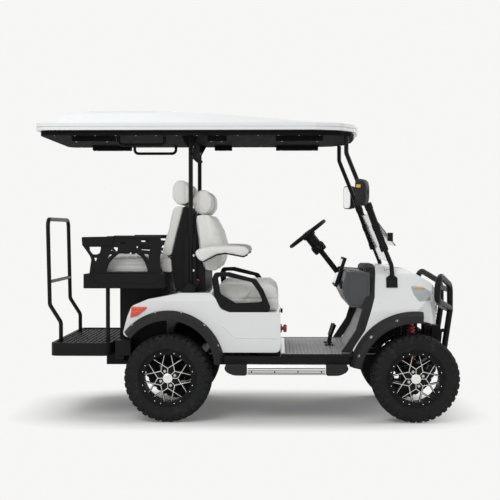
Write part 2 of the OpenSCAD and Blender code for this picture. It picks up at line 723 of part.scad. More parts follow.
// Brush guard and bumper
guard_front_x = front_x + front_overhang;
guard_x = guard_front_x - guard_d * swell_share / 2;
guard_top_z = cowl_z + cowl_h * 0.75;
guard_bend = guard_d * 1.7;
guard_y = guard_gap / 2;
guard_foot_z = guard_top_z - guard_h;
guard_knee_z = guard_top_z - guard_h * 0.4;
guard_sweep = guard_d * 0.9;
bumper_l = guard_x - guard_sweep - guard_d / 2 - gap - rail_front_x;
bumper_h = guard_h * 0.36;
bumper_tip_share = 0.75;
stub_z = guard_foot_z + bumper_h * bumper_tip_share;
stub_share = (stub_z - guard_foot_z) / (guard_knee_z - guard_foot_z);
wing_y = body_half * 1.03;
wing_x = guard_x - guard_d * 3.2;
wing_z = guard_top_z + guard_h * 0.22;
module brush_guard() {
    top = [guard_x - gap, guard_y, guard_top_z];
    knee = [guard_x, guard_y, guard_knee_z];
    low = [guard_x, guard_y, guard_knee_z + guard_d * 0.3];
    tip = [wing_x, wing_y, wing_z];
    elbow_point = [wing_x, wing_y - guard_d * 1.1, wing_z - guard_h * 0.42];
    color(steel) union() {
        both_sides() {
            bent_tube([[guard_x - guard_sweep, guard_y, guard_foot_z], knee, top, tip, elbow_point,
                elbow_point + (low - elbow_point) * 0.97], guard_d, guard_bend);
            rod([rail_front_x + bumper_l + 2 * gap, guard_y, stub_z],
                [guard_x - guard_sweep * (1 - stub_share), guard_y, stub_z], guard_d * 0.6);
        }
        for (z = [guard_knee_z, guard_top_z - guard_h * 0.08])
            rod([guard_x, -guard_y, z], [guard_x, guard_y, z], guard_d * 0.9);
    }
}
bumper_shares = [[0, 1], [0.62, 1], [1, bumper_tip_share], [0.86, 0.1], [0.7, 0], [0.2, 0], [0, 0.3]];
// Rear body
rear_low_z = floor_z + wall;
rear_end_x = deck_front_x - rear_l;
deck_share = (deck_z - rear_low_z) / rear_h;
rear_shares = [[1, 0], [1, deck_share], [0.675, deck_share], [0.62, deck_share + 0.06], [0.585, 0.93], [0.555, 1],
    [0.37, 1], [0.16, 0.895], [0.058, 0.78], [0.03, 0.595], [0, 0.29], [0.058, 0.234], [0.3, 0]];
rear_section_shares = [[1, -0.1], [1, 0.86], [0.985, 0.95], [0.95, 1]];
rear_round = rear_h * 0.1;
wheel_well_y = track / 2 - tyre_w / 2 - rail_w * 0.7;
well_x = rear_x - tyre_d * 0.6;
well_l = tyre_d * 0.55;
well_y = wheel_well_y;
tray_z = rear_low_z + rear_h + tray_h * 0.36;
module rear_form(inset) {
    intersection() {
        along_y(rounded(placed(rear_shares, rear_end_x + inset, rear_low_z - inset, rear_l - 2 * inset, rear_h),
            rear_round), -body_w, body_w);
        along_x(closed_across(placed(rear_section_shares, 0, rear_low_z, body_half - inset, rear_h - inset)),
            rear_end_x - over, deck_front_x + over);
    }
}
// The sunk deck that the front bench lies on
module seat_pocket(grow) {
    half = bench_w / 2 + wall + grow;
    block([deck_front_x - cushion_l - wall - grow, -half, deck_z - grow], [deck_front_x + over, half, deck_z + rear_h]);
}
module rear_body() {
    color(white_paint) union() {
        difference() {
            rear_form(0);
            rear_form(wall);
            arch_hole(rear_x, axle_z + rear_arch_rise, rear_arch_r, wheel_well_y);
            block([rear_end_x - over, -well_y - gap, 0], [well_x + well_l + gap, well_y + gap, tray_z]);
            seat_pocket(0);
        }
        difference() {
            intersection() {
                rear_form(0);
                seat_pocket(wall);
            }
            seat_pocket(0);
        }
    }
}
rear_flare_from = 4;
rear_flare_sweep = 138;
module wheel_flares() {
    color(black_plastic) {
        flare(front_x, axle_z, front_arch_r - flare_t * 0.12, flare_t * 1.2, front_flare_from, front_flare_sweep);
        flare(rear_x, axle_z + rear_arch_rise, rear_arch_r - flare_t * 0.15, flare_t, rear_flare_from, rear_flare_sweep);
    }
}
// Tail lamps on the rear corners: shares of the rear body's length and height
tail_shares = [[0.052, 0.775], [0.115, 0.84], [0.165, 0.8], [0.16, 0.7], [0.1, 0.6], [0.045, 0.6]];
module tail_lamps() {
    lamp_t = wall * 1.5;
    color("orangered") both_sides()
        along_y(placed(tail_shares, rear_end_x, rear_low_z, rear_l, rear_h), body_half + gap, body_half + lamp_t);
}
module bumpers() {
    color(black_plastic) {
        along_y(placed(bumper_shares, rail_front_x + gap, guard_foot_z, bumper_l, bumper_h),
            -guard_y - guard_d, guard_y + guard_d);
        both_sides()
            block([well_x - wall, well_y + gap, cross_top],
                [rear_end_x + rear_l * 0.052, body_half, rear_low_z + rear_h * 0.2]);
    }
}
footboard_z = cross_top + gap;
footboard_x = well_x - rail_w * 0.7 - footboard_l;
footboard_shares = [[0, 0.72], [0.22, 1], [1, 1]];
footboard_rim_t = wall * 2;
module footboard_plate(inset, z0, z1) {
    along_z(closed_by_mirror(placed(footboard_shares, footboard_x + inset, 0, footboard_l - 2 * inset,
        footboard_w / 2 - inset)), z0, z1);
}
module rear_footboard() {
    color(black_plastic) difference() {
        footboard_plate(0, footboard_z, footboard_z + footboard_h);
        footboard_plate(footboard_rim_t, footboard_z + footboard_h - wall, footboard_z + footboard_h + over);
    }
}
post_x = footboard_x + footboard_l - footboard_rim_t - rail_d / 2 - 2 * gap;
post_y = footboard_w * 0.415;
module footboard_posts() {
    color(steel) both_sides()
        rod([post_x, post_y, footboard_z + footboard_h - wall + gap], [post_x, post_y, tray_z - gap], rail_d);
}
hoop_x = footboard_x + footboard_rim_t + rail_d * swell_share / 2 + 2 * gap;
hoop_back = footboard_l * 0.22;
hoop_bend = rail_d * 2;
hoop_foot_z = footboard_z + footboard_h - wall + gap;
hoop_top_z = footboard_z + footboard_h + hoop_h;
module grab_rail() {
    half = hoop_w / 2;
    side = [[hoop_x, half, hoop_foot_z], [hoop_x, half, hoop_foot_z + hoop_h * 0.155],
        [hoop_x - hoop_back * 0.86, half, hoop_foot_z + hoop_h * 0.3], [hoop_x - hoop_back, half, hoop_top_z]];
    bar_z = hoop_foot_z + hoop_h * 0.49;
    bar_x = hoop_x - hoop_back * 0.9;
    color(steel) union() {
        bent_tube(concat(side, [for (i = [len(side) - 1:-1:0]) [side[i][0], -side[i][1], side[i][2]]]), rail_d, hoop_bend);
        rod([bar_x, -half, bar_z], [bar_x, half, bar_z], rail_d * 0.86);
    }
}
hitch_t = hitch_bore_d * 0.9;
hitch_x = rail_rear_x - hitch_bore_d * 2;
hitch_half = hitch_bore_d * 2;
module tow_hitch() {
    top = rail_top - gap;
    color(steel) difference() {
        union() {
            block([hitch_x, -hitch_half, top - hitch_t], [rail_rear_x + rail_w * 3, hitch_half, top]);
            translate([hitch_x, 0, top - hitch_t]) cylinder(h = hitch_t, r = hitch_half);
        }
        translate([hitch_x, 0, top - hitch_t - over]) cylinder(h = hitch_t + 2 * over, d = hitch_bore_d);
    }
}

// Seats: outlines as shares of each piece's length and height
cushion_shares = [[0, 0], [1, 0], [1, 0.55], [0.97, 0.86], [0.86, 1], [0.3, 0.96], [0.06, 1], [0, 0.88]];
cushion_z = deck_z + gap;
pan_t = wall * 2;
back_l = back_t * 1.94;
back_x = deck_front_x - cushion_l * 1.3;
back_z = deck_z + cushion_h * 1.478;
back_rear_shares = [[0.366, 0], [0.145, 0.378], [0, 1]];
back_front_shares = [[0.516, 1], [0.84, 0.72], [1, 0.45], [0.95, 0.18], [0.817, 0]];
rear_back_l = back_t * 1.69;
rear_back_h = back_h * 0.9;
rear_back_x = back_x - back_l * 1.02;
rear_back_z = tray_z + tray_h + rear_cushion_h * 0.93;
rear_back_half = bench_w * 0.456;
rear_face_shares = [[0.06, 0], [0, 0.06], [0.2, 0.6], [0.5, 1]];
rear_hidden_shares = [[1, 1], [0.52, 0]];
shell_half = rear_back_half;
headrest_l = back_t * 1.24;
headrest_shares = [[0.3, 0], [0.72, 0], [1, 0.35], [0.96, 0.72], [0.7, 1], [0.3, 0.98], [0, 0.6], [0.08, 0.2]];
module seat_pair(points, half, side_gap) {
    both_sides() along_y(points, side_gap / 2, half);
}
module front_cushion() {
    half = bench_w / 2;
    height = cushion_h + pan_t;
    color(leather) difference() {
        along_y(rounded(placed(cushion_shares, deck_front_x - cushion_l, cushion_z, cushion_l, height), cushion_h * 0.1),
            -half, half);
        block([deck_front_x - cushion_l - over, -seat_gap / 2, cushion_z + height * 0.8],
            [deck_front_x + over, seat_gap / 2, cushion_z + height + over]);
    }
}
module front_backrests() {
    color(leather) seat_pair(rounded(placed(concat(back_rear_shares, back_front_shares), back_x, back_z, back_l, back_h),
        back_t * 0.12), bench_w / 2, seat_gap);
}
module headrest_pair(x, z, facing) {
    middle = bench_w / 4;
    both_sides() translate([x, middle, z]) scale([facing, 1, 1])
        along_y(rounded(placed(headrest_shares, -headrest_l / 2, 0, headrest_l, headrest_h), headrest_h * 0.12),
            -headrest_w / 2, headrest_w / 2);
}
module headrests() {
    color(leather) {
        headrest_pair(back_x + back_l * 0.21, back_z + back_h + gap, 1);
        headrest_pair(rear_back_x + rear_back_l * 0.72, rear_back_z + rear_back_h + gap, -1);
    }
}
module seat_shell() {
    front_edge = [for (p = placed(back_rear_shares, back_x, back_z, back_l, back_h)) p - [gap, 0]];
    rear_edge = [for (p = placed(rear_hidden_shares, rear_back_x, rear_back_z, rear_back_l, rear_back_h)) p + [gap, 0]];
    shell_z = rear_low_z + rear_h + gap;
    color(black_plastic) along_y(concat([[front_edge[0][0], shell_z]], front_edge,
        [[rear_edge[0][0] - rear_back_l * 0.08, front_edge[2][1]]], [rear_edge[1]],
        [[rear_edge[1][0] - rear_back_l * 0.2, shell_z]]), -shell_half, shell_half);
}
module rear_backrests() {
    color(leather) seat_pair(rounded(placed(concat(rear_face_shares, rear_hidden_shares), rear_back_x, rear_back_z,
        rear_back_l, rear_back_h), back_t * 0.12), rear_back_half, seat_gap);
}
tray_x = rear_x - tray_l * 1.046;
tray_top = tray_z + tray_h;
tray_shares = [[0.1, 0], [1, 0], [1, 1], [0, 1], [0, 0.72]];
rear_cushion_x = tray_x + tray_l * 0.083;
rear_cushion_z = tray_top + gap;
rear_cushion_shares = [[0, 0], [1, 0], [1, 0.8], [0.94, 1], [0.3, 0.95], [0.1, 1], [0, 0.7]];
module rear_tray() {
    color(black_plastic) union() {
        along_y(placed(tray_shares, tray_x, tray_z, tray_l, tray_h), -tray_w / 2, tray_w / 2);
        block([well_x, -well_y, cross_top + gap], [well_x + well_l, well_y, tray_z + tray_h / 2]);
    }
}
module rear_cushion() {
    color(leather) along_y(rounded(placed(rear_cushion_shares, rear_cushion_x, rear_cushion_z, rear_cushion_l,
        rear_cushion_h), rear_cushion_h * 0.14), -rear_bench_w / 2, rear_bench_w / 2);
}
side_shares = [[0.02, 0], [-0.02, 0.68], [-0.02, 0.93], [0.02, 0.97], [0.36, 0.97], [0.38, 1], [0.9, 1], [0.95, 0.9],
    [0.99, 0]];
side_hole_shares = [[0.26, 0.09], [0.29, 0.44], [0.38, 0.55], [0.66, 0.52], [0.77, 0.3], [0.79, 0.09]];
side_slot_shares = [[0.06, 0.62], [0.34, 0.72], [0.34, 0.84], [0.06, 0.84]];
side_y = tray_w / 2 - side_t * 0.65;
module rear_sides() {
    color(black_plastic) both_sides() difference() {
        along_y(placed(side_shares, tray_x, tray_top + gap, tray_l, side_h), side_y - side_t / 2, side_y + side_t / 2);
        for (hole = [side_hole_shares, side_slot_shares])
            along_y(rounded(placed(hole, tray_x, tray_top, tray_l, side_h), side_h * 0.06), 0, tray_w);
    }
}
armrest_shares = [[0, 0.45], [0, 0.9], [0.05, 1], [0.9, 0.98], [1, 0.86], [0.97, 0.55], [0.4, 0.18], [0.12, 0]];
armrest_y = bench_w / 2 + armrest_w * 0.2;
armrest_x = back_x;
armrest_z = back_z + back_h * 0.175;
module front_armrests() {
    pin = [back_x + back_l * 0.35, bench_w / 2 + gap, armrest_z + armrest_h * 0.6];
    color(leather) both_sides() union() {
        along_y(rounded(placed(armrest_shares, armrest_x, armrest_z, armrest_l, armrest_h), armrest_h * 0.12),
            armrest_y, armrest_y + armrest_w);
        translate(pin) rotate([-90, 0, 0]) cylinder(h = armrest_w * 0.6, d = armrest_h * 0.25);
    }
}
hip_shares = [[0.05, 0.99], [0.29, 1], [0.76, 0.82], [0.88, 0.56], [1, 0.13], [0.98, 0], [0.25, 0], [0.06, 0.25], [0, 0.82]];
hip_hole_shares = [[0.1, 0.89], [0.26, 0.89], [0.68, 0.75], [0.79, 0.53], [0.88, 0.25], [0.41, 0.22], [0.15, 0.45]];
hip_x = deck_front_x - cushion_l * 1.035;
hip_y = body_half - hip_t * 1.1;
module hip_restraints() {
    color(black_plastic) both_sides() difference() {
        along_y(rounded(placed(hip_shares, hip_x, deck_z + gap, hip_l, hip_h), hip_h * 0.09), hip_y, hip_y + hip_t);
        along_y(rounded(placed(hip_hole_shares, hip_x, deck_z + gap, hip_l, hip_h), hip_h * 0.07), 0, body_w);
        rear_form(-2 * gap);
    }
}

// Roof and screen
roof_x = rear_x - rear_overhang;
roof_front_x = roof_x + roof_l;
roof_half = roof_w / 2;
roof_plan_shares = [[0, 0.9], [0.02, 1], [0.86, 1], [0.94, 0.9], [0.985, 0.66], [1, 0.25]];
crown_shares = [[0.048, 0], [0.065, 0.83], [0.16, 1], [0.345, 1], [0.59, 0.7], [0.74, 0.44], [0.85, 0.2], [0.98, 0]];
crown_half = roof_half * 0.7;
rim_top = roof_z + rim_h;
liner_z = roof_z - liner_h;
pad_h = liner_h;
// Pads under the liner: start and end as shares of the roof's length
pad_shares = [[0.106, 0.237], [0.527, 0.586], [0.738, 0.883]];
module roof_plan(inset, z0, z1) {
    along_z(rounded(closed_by_mirror(placed(roof_plan_shares, roof_x + inset, 0, roof_l - 2 * inset, roof_half - inset)),
        roof_half * 0.15), z0, z1);
}
module crown(inset) {
    section = [[0.78, 1.05], [0.9, 0.82], [1, -0.5]];
    intersection() {
        along_y(concat(placed(crown_shares, roof_x + inset, rim_top - inset, roof_l - 2 * inset, crown_h),
            [[roof_x + roof_l * 0.98 - inset, rim_top - rim_h / 2], [roof_x + roof_l * 0.05 + inset, rim_top - rim_h / 2]]),
            -roof_w, roof_w);
        along_x(closed_across(placed(section, 0, rim_top - inset, crown_half - inset, crown_h)), roof_x, roof_front_x);
    }
}
module roof_canopy() {
    groove = wall * 0.6;
    color(white_paint) difference() {
        union() {
            roof_plan(0, roof_z, rim_top);
            crown(0);
        }
        roof_plan(rim_h, roof_z - over, rim_top - wall);
        crown(wall);
        difference() {
            roof_plan(-over, roof_z + rim_h * 0.42, roof_z + rim_h * 0.42 + groove);
            roof_plan(groove, roof_z, rim_top);
        }
    }
}
module roof_liner() {
    pad_half = roof_half * 0.72;
    color(black_plastic) union() {
        roof_plan(rim_h * 0.55, liner_z, roof_z - gap);
        both_sides() for (s = pad_shares)
            block([roof_x + roof_l * s[0], pad_half - rim_h, liner_z - pad_h],
                [roof_x + roof_l * s[1], pad_half + rim_h, liner_z + gap]);
    }
}
handle_y = roof_half * 0.72;
module roof_handles() {
    bar_z = liner_z - pad_h * 1.7;
    x0 = roof_x + roof_l * (pad_shares[0][1] + 0.012);
    x1 = roof_x + roof_l * 0.392;
    color(black_plastic) both_sides() bent_tube([[x0, handle_y, liner_z - gap], [x0, handle_y, bar_z], [x1, handle_y, bar_z],
        [x1, handle_y, liner_z - gap]], pillar_d * 0.7, pillar_d);
}
pillar_y = pillar_gap / 2;
a_top_x = roof_front_x - roof_l * 0.044;
a_knee_z = roof_z - rim_h * 3.1;
a_foot_x = cowl_x + cowl_l * 0.45;
a_foot_z = cowl_z + cowl_h;
module front_pillars() {
    color(steel) both_sides() difference() {
        bent_tube([[a_top_x, pillar_y, liner_z - gap], [a_top_x, pillar_y, a_knee_z], [a_foot_x, pillar_y, a_foot_z],
            [a_foot_x + pillar_d * 0.4, pillar_y, cowl_z + cowl_h * 0.7]], pillar_d, pillar_d * 2);
        cowl_form(-gap);
    }
}
// Windscreen panes: shares of the sloped pillar's run
pane_low_share = 0.03;
pane_high_share = 0.455;
pane_fold = 15;
module windscreen() {
    slope = [a_top_x - a_foot_x, a_knee_z - a_foot_z];
    lean = atan2(slope[0], slope[1]);
    half = pillar_y - pillar_d / 2 - gap;
    pane_l = norm(slope) * (pane_high_share - pane_low_share);
    low = [a_foot_x, a_foot_z] + slope * pane_low_share;
    high = [a_foot_x, a_foot_z] + slope * pane_high_share;
    color([0.8, 0.9, 0.92, 0.35]) {
        translate([low[0], -half, low[1]]) rotate([0, lean, 0]) translate([-glass_t / 2, 0, 0])
            cube([glass_t, half * 2, pane_l]);
        translate([high[0], -half, high[1]]) rotate([0, lean - pane_fold, 0])
            translate([glass_t / 2 + gap, 0, -pane_l * 0.78]) cube([glass_t, half * 2, pane_l * 0.78]);
    }
}
mid_pillar_x = (back_x + rear_back_x + rear_back_l) / 2 - pillar_d * 0.55;
module mid_pillars() {
    plate_t = wall;
    foot_z = rear_low_z + rear_h + gap;
    color(steel) both_sides() union() {
        rod([mid_pillar_x, pillar_y, foot_z], [mid_pillar_x, pillar_y, liner_z - gap], pillar_d);
        block([mid_pillar_x - pillar_d * 1.4, pillar_y - plate_t / 2, foot_z],
            [mid_pillar_x + pillar_d * 1.2, pillar_y + plate_t / 2, foot_z + back_h]);
    }
}
mirror_shares = [[0.06, 0.05], [0.8, 0], [1, 0.12], [0.97, 0.86], [0.8, 1], [0.12, 0.96], [0, 0.8]];
mirror_z = roof_z - rim_h * 10.8;
mirror_x = a_top_x + mirror_t * 0.34;
mirror_y = pillar_y + mirror_w * 0.5;
module mirrors() {
    arm_z = mirror_z + mirror_h * 0.5;
    arm_x = a_top_x + (a_foot_x - a_top_x) * (a_knee_z - arm_z) / (a_knee_z - a_foot_z);
    color(grey_plastic) both_sides() union() {
        along_x(rounded(placed(mirror_shares, mirror_y, mirror_z, mirror_w, mirror_h), mirror_h * 0.12),
            mirror_x, mirror_x + mirror_t);
        rod([arm_x, pillar_y + pillar_d / 2 + gap, arm_z], [arm_x, mirror_y + mirror_w / 4, arm_z],
            pillar_d * 0.6);
    }
}

// Controls
wheel_x = dash_x - dash_l * 1.11;
wheel_z = dash_z + dash_h * 1.868;
wheel_hub_d = wheel_d * 0.3;
wheel_hub_h = grip_d * 1.5;
spoke_angles = [0, 125, 235];
module steering_place() {
    translate([wheel_x, driver_y, wheel_z]) rotate([0, -column_tilt, 0]) children();
}
module steering_wheel() {
    grip_r = wheel_d / 2 - grip_d / 2;
    spoke_drop = grip_d * 0.3;
    color(black_plastic) steering_place() union() {
        rotate_extrude() translate([grip_r, 0]) circle(d = grip_d);
        translate([0, 0, -wheel_hub_h * 0.7]) cylinder(h = wheel_hub_h, d = wheel_hub_d);
        for (a = spoke_angles)
            rotate([0, 0, a]) translate([0, -grip_d * 0.6, -spoke_drop])
                cube([grip_r, grip_d * 1.2, spoke_drop * 1.6]);
    }
}
module steering_column() {
    color(black_plastic) difference() {
        steering_place() union() {
            translate([0, 0, -wheel_d * 2]) cylinder(h = wheel_d * 2 - wheel_hub_h * 0.7 - gap, d = column_d);
            translate([0, 0, -wheel_d * 0.5]) cylinder(h = wheel_d * 0.5 - wheel_hub_h * 0.7 - gap, d = column_d * 2);
        }
        dash_form(gap);
        block([dash_x + dash_l * 0.3, -dash_w, 0], [cowl_x + cowl_l, dash_w, wheel_z]);
        block([dash_x - dash_l, -dash_w, 0], [cowl_x + cowl_l, dash_w, dash_z + dash_h * 0.3]);
    }
}
pedal_shares = [0, 0.75];
pedal_w = column_d * 1.7;
pedal_h = cowl_h * 0.24;
module pedals() {
    color(black_plastic) for (s = pedal_shares)
        translate([cowl_x - toe_l * 0.45, driver_y * s, floor_z + gap]) union() {
            block([-pedal_w * 0.3, -pedal_w / 2, 0], [pedal_w * 0.3, pedal_w / 2, wall]);
            rod([0, 0, wall / 2], [-pedal_h * 0.35, 0, pedal_h], column_d * 0.5);
            translate([-pedal_h * 0.35, -pedal_w / 2, pedal_h * 0.82]) rotate([0, -20, 0])
                cube([wall, pedal_w, pedal_h * 0.5]);
        }
}

module knuckle_left() { wheel_place(front_x, 1) knuckle(); }
module knuckle_right() { wheel_place(front_x, -1) knuckle(); }
module tyre_fl() { wheel_place(front_x, 1) tyre(); }
module tyre_fr() { wheel_place(front_x, -1) tyre(); }
module tyre_rl() { wheel_place(rear_x, 1) tyre(); }
module tyre_rr() { wheel_place(rear_x, -1) tyre(); }
module rim_fl() { wheel_place(front_x, 1) rim(); }
module rim_fr() { wheel_place(front_x, -1) rim(); }
module rim_rl() { wheel_place(rear_x, 1) rim(); }
module rim_rr() { wheel_place(rear_x, -1) rim(); }

chassis_rails();
cross_members();
front_arms();
front_coilovers();
rear_axle();
drive_motor();
leaf_springs();
battery_pack();
floor_pan();
sills();
running_boards();
board_caps();
front_cowl();
front_liner();
cowl_trim();
dashboard();
display_screen();
headlamps();
wheel_flares();
bumpers();
brush_guard();
rear_body();
tail_lamps();
rear_footboard();
footboard_posts();
grab_rail();
tow_hitch();
front_cushion();
front_backrests();
headrests();
seat_shell();
rear_backrests();
rear_cushion();
rear_tray();
rear_sides();
front_armrests();
hip_restraints();
front_pillars();
windscreen();
mid_pillars();
roof_canopy();
roof_liner();
roof_handles();
mirrors();
steering_column();
pedals();
steering_wheel();
knuckle_left();
knuckle_right();
tyre_fl();
tyre_fr();
tyre_rl();
tyre_rr();
rim_fl();
rim_fr();
rim_rl();
rim_rr();
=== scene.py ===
"""Looks for the electric utility vehicle: finishes, padded seats, tread, wheels, fasteners, stage and camera.

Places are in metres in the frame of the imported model: +X forward, +Y the vehicle's left, +Z up. Sizes that
the helpers take, such as a radius, a depth, a grain or a bevel, are in millimetres.
"""

import math

import bmesh
import bpy
import numpy as np
from mathutils import Matrix, Vector
from mathutils.bvhtree import BVHTree


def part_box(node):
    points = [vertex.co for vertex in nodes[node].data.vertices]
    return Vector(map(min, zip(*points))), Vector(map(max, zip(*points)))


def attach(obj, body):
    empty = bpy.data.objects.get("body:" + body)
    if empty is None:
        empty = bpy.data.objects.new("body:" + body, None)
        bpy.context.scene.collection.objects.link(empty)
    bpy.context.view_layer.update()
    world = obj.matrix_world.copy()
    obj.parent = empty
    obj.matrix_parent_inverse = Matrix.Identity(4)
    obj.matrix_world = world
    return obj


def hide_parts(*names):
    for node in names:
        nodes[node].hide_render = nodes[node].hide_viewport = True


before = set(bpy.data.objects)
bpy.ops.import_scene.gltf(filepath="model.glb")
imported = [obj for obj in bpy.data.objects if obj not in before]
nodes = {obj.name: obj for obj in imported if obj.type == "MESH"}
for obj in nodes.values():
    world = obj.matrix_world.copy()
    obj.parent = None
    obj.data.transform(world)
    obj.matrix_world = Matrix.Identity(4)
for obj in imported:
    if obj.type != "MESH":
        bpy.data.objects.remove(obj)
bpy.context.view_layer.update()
MM = 0.001
SIDES = {-1: "right", 1: "left"}


def lerp(a, b, t):
    """The value a share t of the way from a to b."""
    return a + (b - a) * t


def span(low, high, count):
    """Evenly spaced values from low to high."""
    return [lerp(low, high, k / (count - 1)) for k in range(count)]


def smooth(t):
    """An eased step from 0 to 1."""
    t = min(1.0, max(0.0, t))
    return t * t * (3 - 2 * t)


# Shader graphs


def shader(name):
    """A new material: (material, tree, its Principled shader)."""
    made = bpy.data.materials.new(name)
    made.use_nodes = True
    tree = made.node_tree
    return made, tree, tree.nodes["Principled BSDF"]


def wire(tree, node, links):
    """Sets or links a node's inputs, by name or number."""
    for key, value in links.items():
        if isinstance(value, bpy.types.NodeSocket):
            tree.links.new(value, node.inputs[key])
        else:
            node.inputs[key].default_value = value


def put(tree, kind, links=None, **settings):
    """A shader node with its settings and inputs."""
    made = tree.nodes.new("ShaderNode" + kind)
    for key, value in settings.items():
        setattr(made, key, value)
    wire(tree, made, links or {})
    return made


def maths(tree, operation, a, b=0.0, c=0.0):
    """One number from up to three."""
    return put(tree, "Math", {0: a, 1: b, 2: c}, operation=operation).outputs[0]


def place(tree, stretch=(1, 1, 1)):
    """Rest coordinates in metres, scaled per axis."""
    spot = put(tree, "TexCoord").outputs["Object"]
    return put(tree, "Mapping", {"Vector": spot, "Scale": stretch}).outputs[0]


def ramp(tree, value, low, high, to_low, to_high):
    """The value mapped from one range to another, clamped."""
    links = {"Value": value, "From Min": low, "From Max": high, "To Min": to_low, "To Max": to_high}
    return put(tree, "MapRange", links).outputs[0]


def mix(tree, share, a, b):
    """A colour between two others."""
    return put(tree, "Mix", {0: share, 6: a, 7: b}, data_type="RGBA").outputs[2]


def rgba(colour, gain=1.0):
    """An opaque colour, made lighter or darker."""
    return (*(min(1.0, c * gain) for c in colour), 1)


def speckle(tree, at, size, detail):
    """Soft noise from 0 to 1 with features of that size."""
    return put(tree, "TexNoise", {"Vector": at, "Scale": 1 / (size * MM), "Detail": detail}).outputs["Fac"]


def cells(tree, at, size):
    """Distance to the edges of a cell pattern with cells of that size."""
    links = {"Vector": at, "Scale": 1 / (size * MM)}
    return put(tree, "TexVoronoi", links, feature="DISTANCE_TO_EDGE").outputs["Distance"]


def bumped(tree, surface, height, depth):
    """Relief of that depth on the surface."""
    made = put(tree, "Bump", {"Height": height, "Distance": depth * MM, "Strength": 1.0})
    wire(tree, surface, {"Normal": made.outputs[0]})


def moulded(name, colour, rough, grain=1.2, depth=0.12, vary=0.12, **sockets):
    """Moulded plastic or paint: drifting tone, varied gloss and a fine grain."""
    made, tree, surface = shader(name)
    at = place(tree)
    tone = mix(tree, speckle(tree, at, 110, 4), rgba(colour, 1 - vary), rgba(colour, 1 + vary))
    gloss = ramp(tree, speckle(tree, at, 35, 5), 0.3, 0.7, rough * 0.85, rough * 1.15)
    wire(tree, surface, {"Base Color": tone, "Roughness": gloss})
    if depth:
        bumped(tree, surface, speckle(tree, at, grain, 3), depth)
    wire(tree, surface, {key.replace("_", " "): value for key, value in sockets.items()})
    return made


def leathered(name, colour):
    """Pebbled leather: cell grain, creases, and painted shade that darkens the grain's valleys."""
    made, tree, surface = shader(name)
    at = place(tree)
    crease = speckle(tree, at, 20, 6)
    valley_relief_and_shade = ramp(tree, cells(tree, at, 2.6), 0.0, 0.16, 0.0, 1.0)
    tone = mix(tree, speckle(tree, at, 160, 4), rgba(colour, 0.9), rgba(colour, 1.06))
    # Painted shade: the colour is darkened in the grain's valleys as if they were shadowed; the same mask
    # also sets how deep the valleys are bumped
    tone = mix(tree, valley_relief_and_shade, rgba(colour, 0.86), tone)
    gloss = ramp(tree, crease, 0.3, 0.7, 0.42, 0.58)
    wire(tree, surface, {"Base Color": tone, "Roughness": gloss, "Sheen Weight": 0.12})
    coarse = maths(tree, "MULTIPLY_ADD", crease, 0.8, valley_relief_and_shade)
    bumped(tree, surface, maths(tree, "MULTIPLY_ADD", cells(tree, at, 0.9), 0.3, coarse), 0.16)
    return made


def brushed(name, colour, rough, stretch):
    """Metal with brush marks drawn out along one axis."""
    made, tree, surface = shader(name)
    marks = speckle(tree, place(tree, stretch), 1.0, 3)
    tone = mix(tree, speckle(tree, place(tree), 90, 3), rgba(colour, 0.92), rgba(colour, 1.05))
    gloss = ramp(tree, marks, 0.25, 0.75, rough * 0.75, rough * 1.3)
    wire(tree, surface, {"Base Color": tone, "Roughness": gloss, "Metallic": 1.0})
    bumped(tree, surface, marks, 0.02)
    return made


def clear(name, tint, rough, haze):
    """Glass or clear plastic with faint smears."""
    made, tree, surface = shader(name)
    smear = speckle(tree, place(tree, (1, 1, 0.35)), 60, 5)
    tone = mix(tree, smear, rgba(tint, 0.97), rgba(tint, 1.02))
    gloss = ramp(tree, smear, 0.4, 0.7, rough, rough + haze)
    wire(tree, surface, {"Base Color": tone, "Roughness": gloss, "Transmission Weight": 1.0, "IOR": 1.45})
    return made


def rubbery(name, colour, dust):
    """Tyre rubber: dull, with dust that lies in patches."""
    made, tree, surface = shader(name)
    at = place(tree)
    patch = ramp(tree, speckle(tree, at, 50, 6), 0.52, 0.72, 0.0, 0.55)
    gloss = ramp(tree, speckle(tree, at, 12, 4), 0.3, 0.7, 0.62, 0.86)
    tone = mix(tree, patch, rgba(colour), rgba(dust))
    wire(tree, surface, {"Base Color": tone, "Roughness": gloss, "Specular IOR Level": 0.16})
    bumped(tree, surface, speckle(tree, at, 1.6, 4), 0.25)
    return made


# Finishes, in linear colour
WHITE = (0.80, 0.81, 0.815)
ROOF_WHITE = (0.82, 0.845, 0.845)
BLACK = (0.009, 0.0092, 0.0102)
CHARCOAL = (0.024, 0.024, 0.026)
SLATE = (0.046, 0.05, 0.055)
PUTTY = (0.23, 0.22, 0.205)
CREAM = (0.83, 0.825, 0.79)
RED = (0.58, 0.012, 0.022)
AMBER = (0.78, 0.40, 0.015)
RUBBER, DUST = (0.0125, 0.013, 0.014), (0.034, 0.033, 0.031)
# Matt plastic and coating, and the lining that hardly shines
DULL = {"Specular_IOR_Level": 0.12}
FLAT = {"Specular_IOR_Level": 0.03}

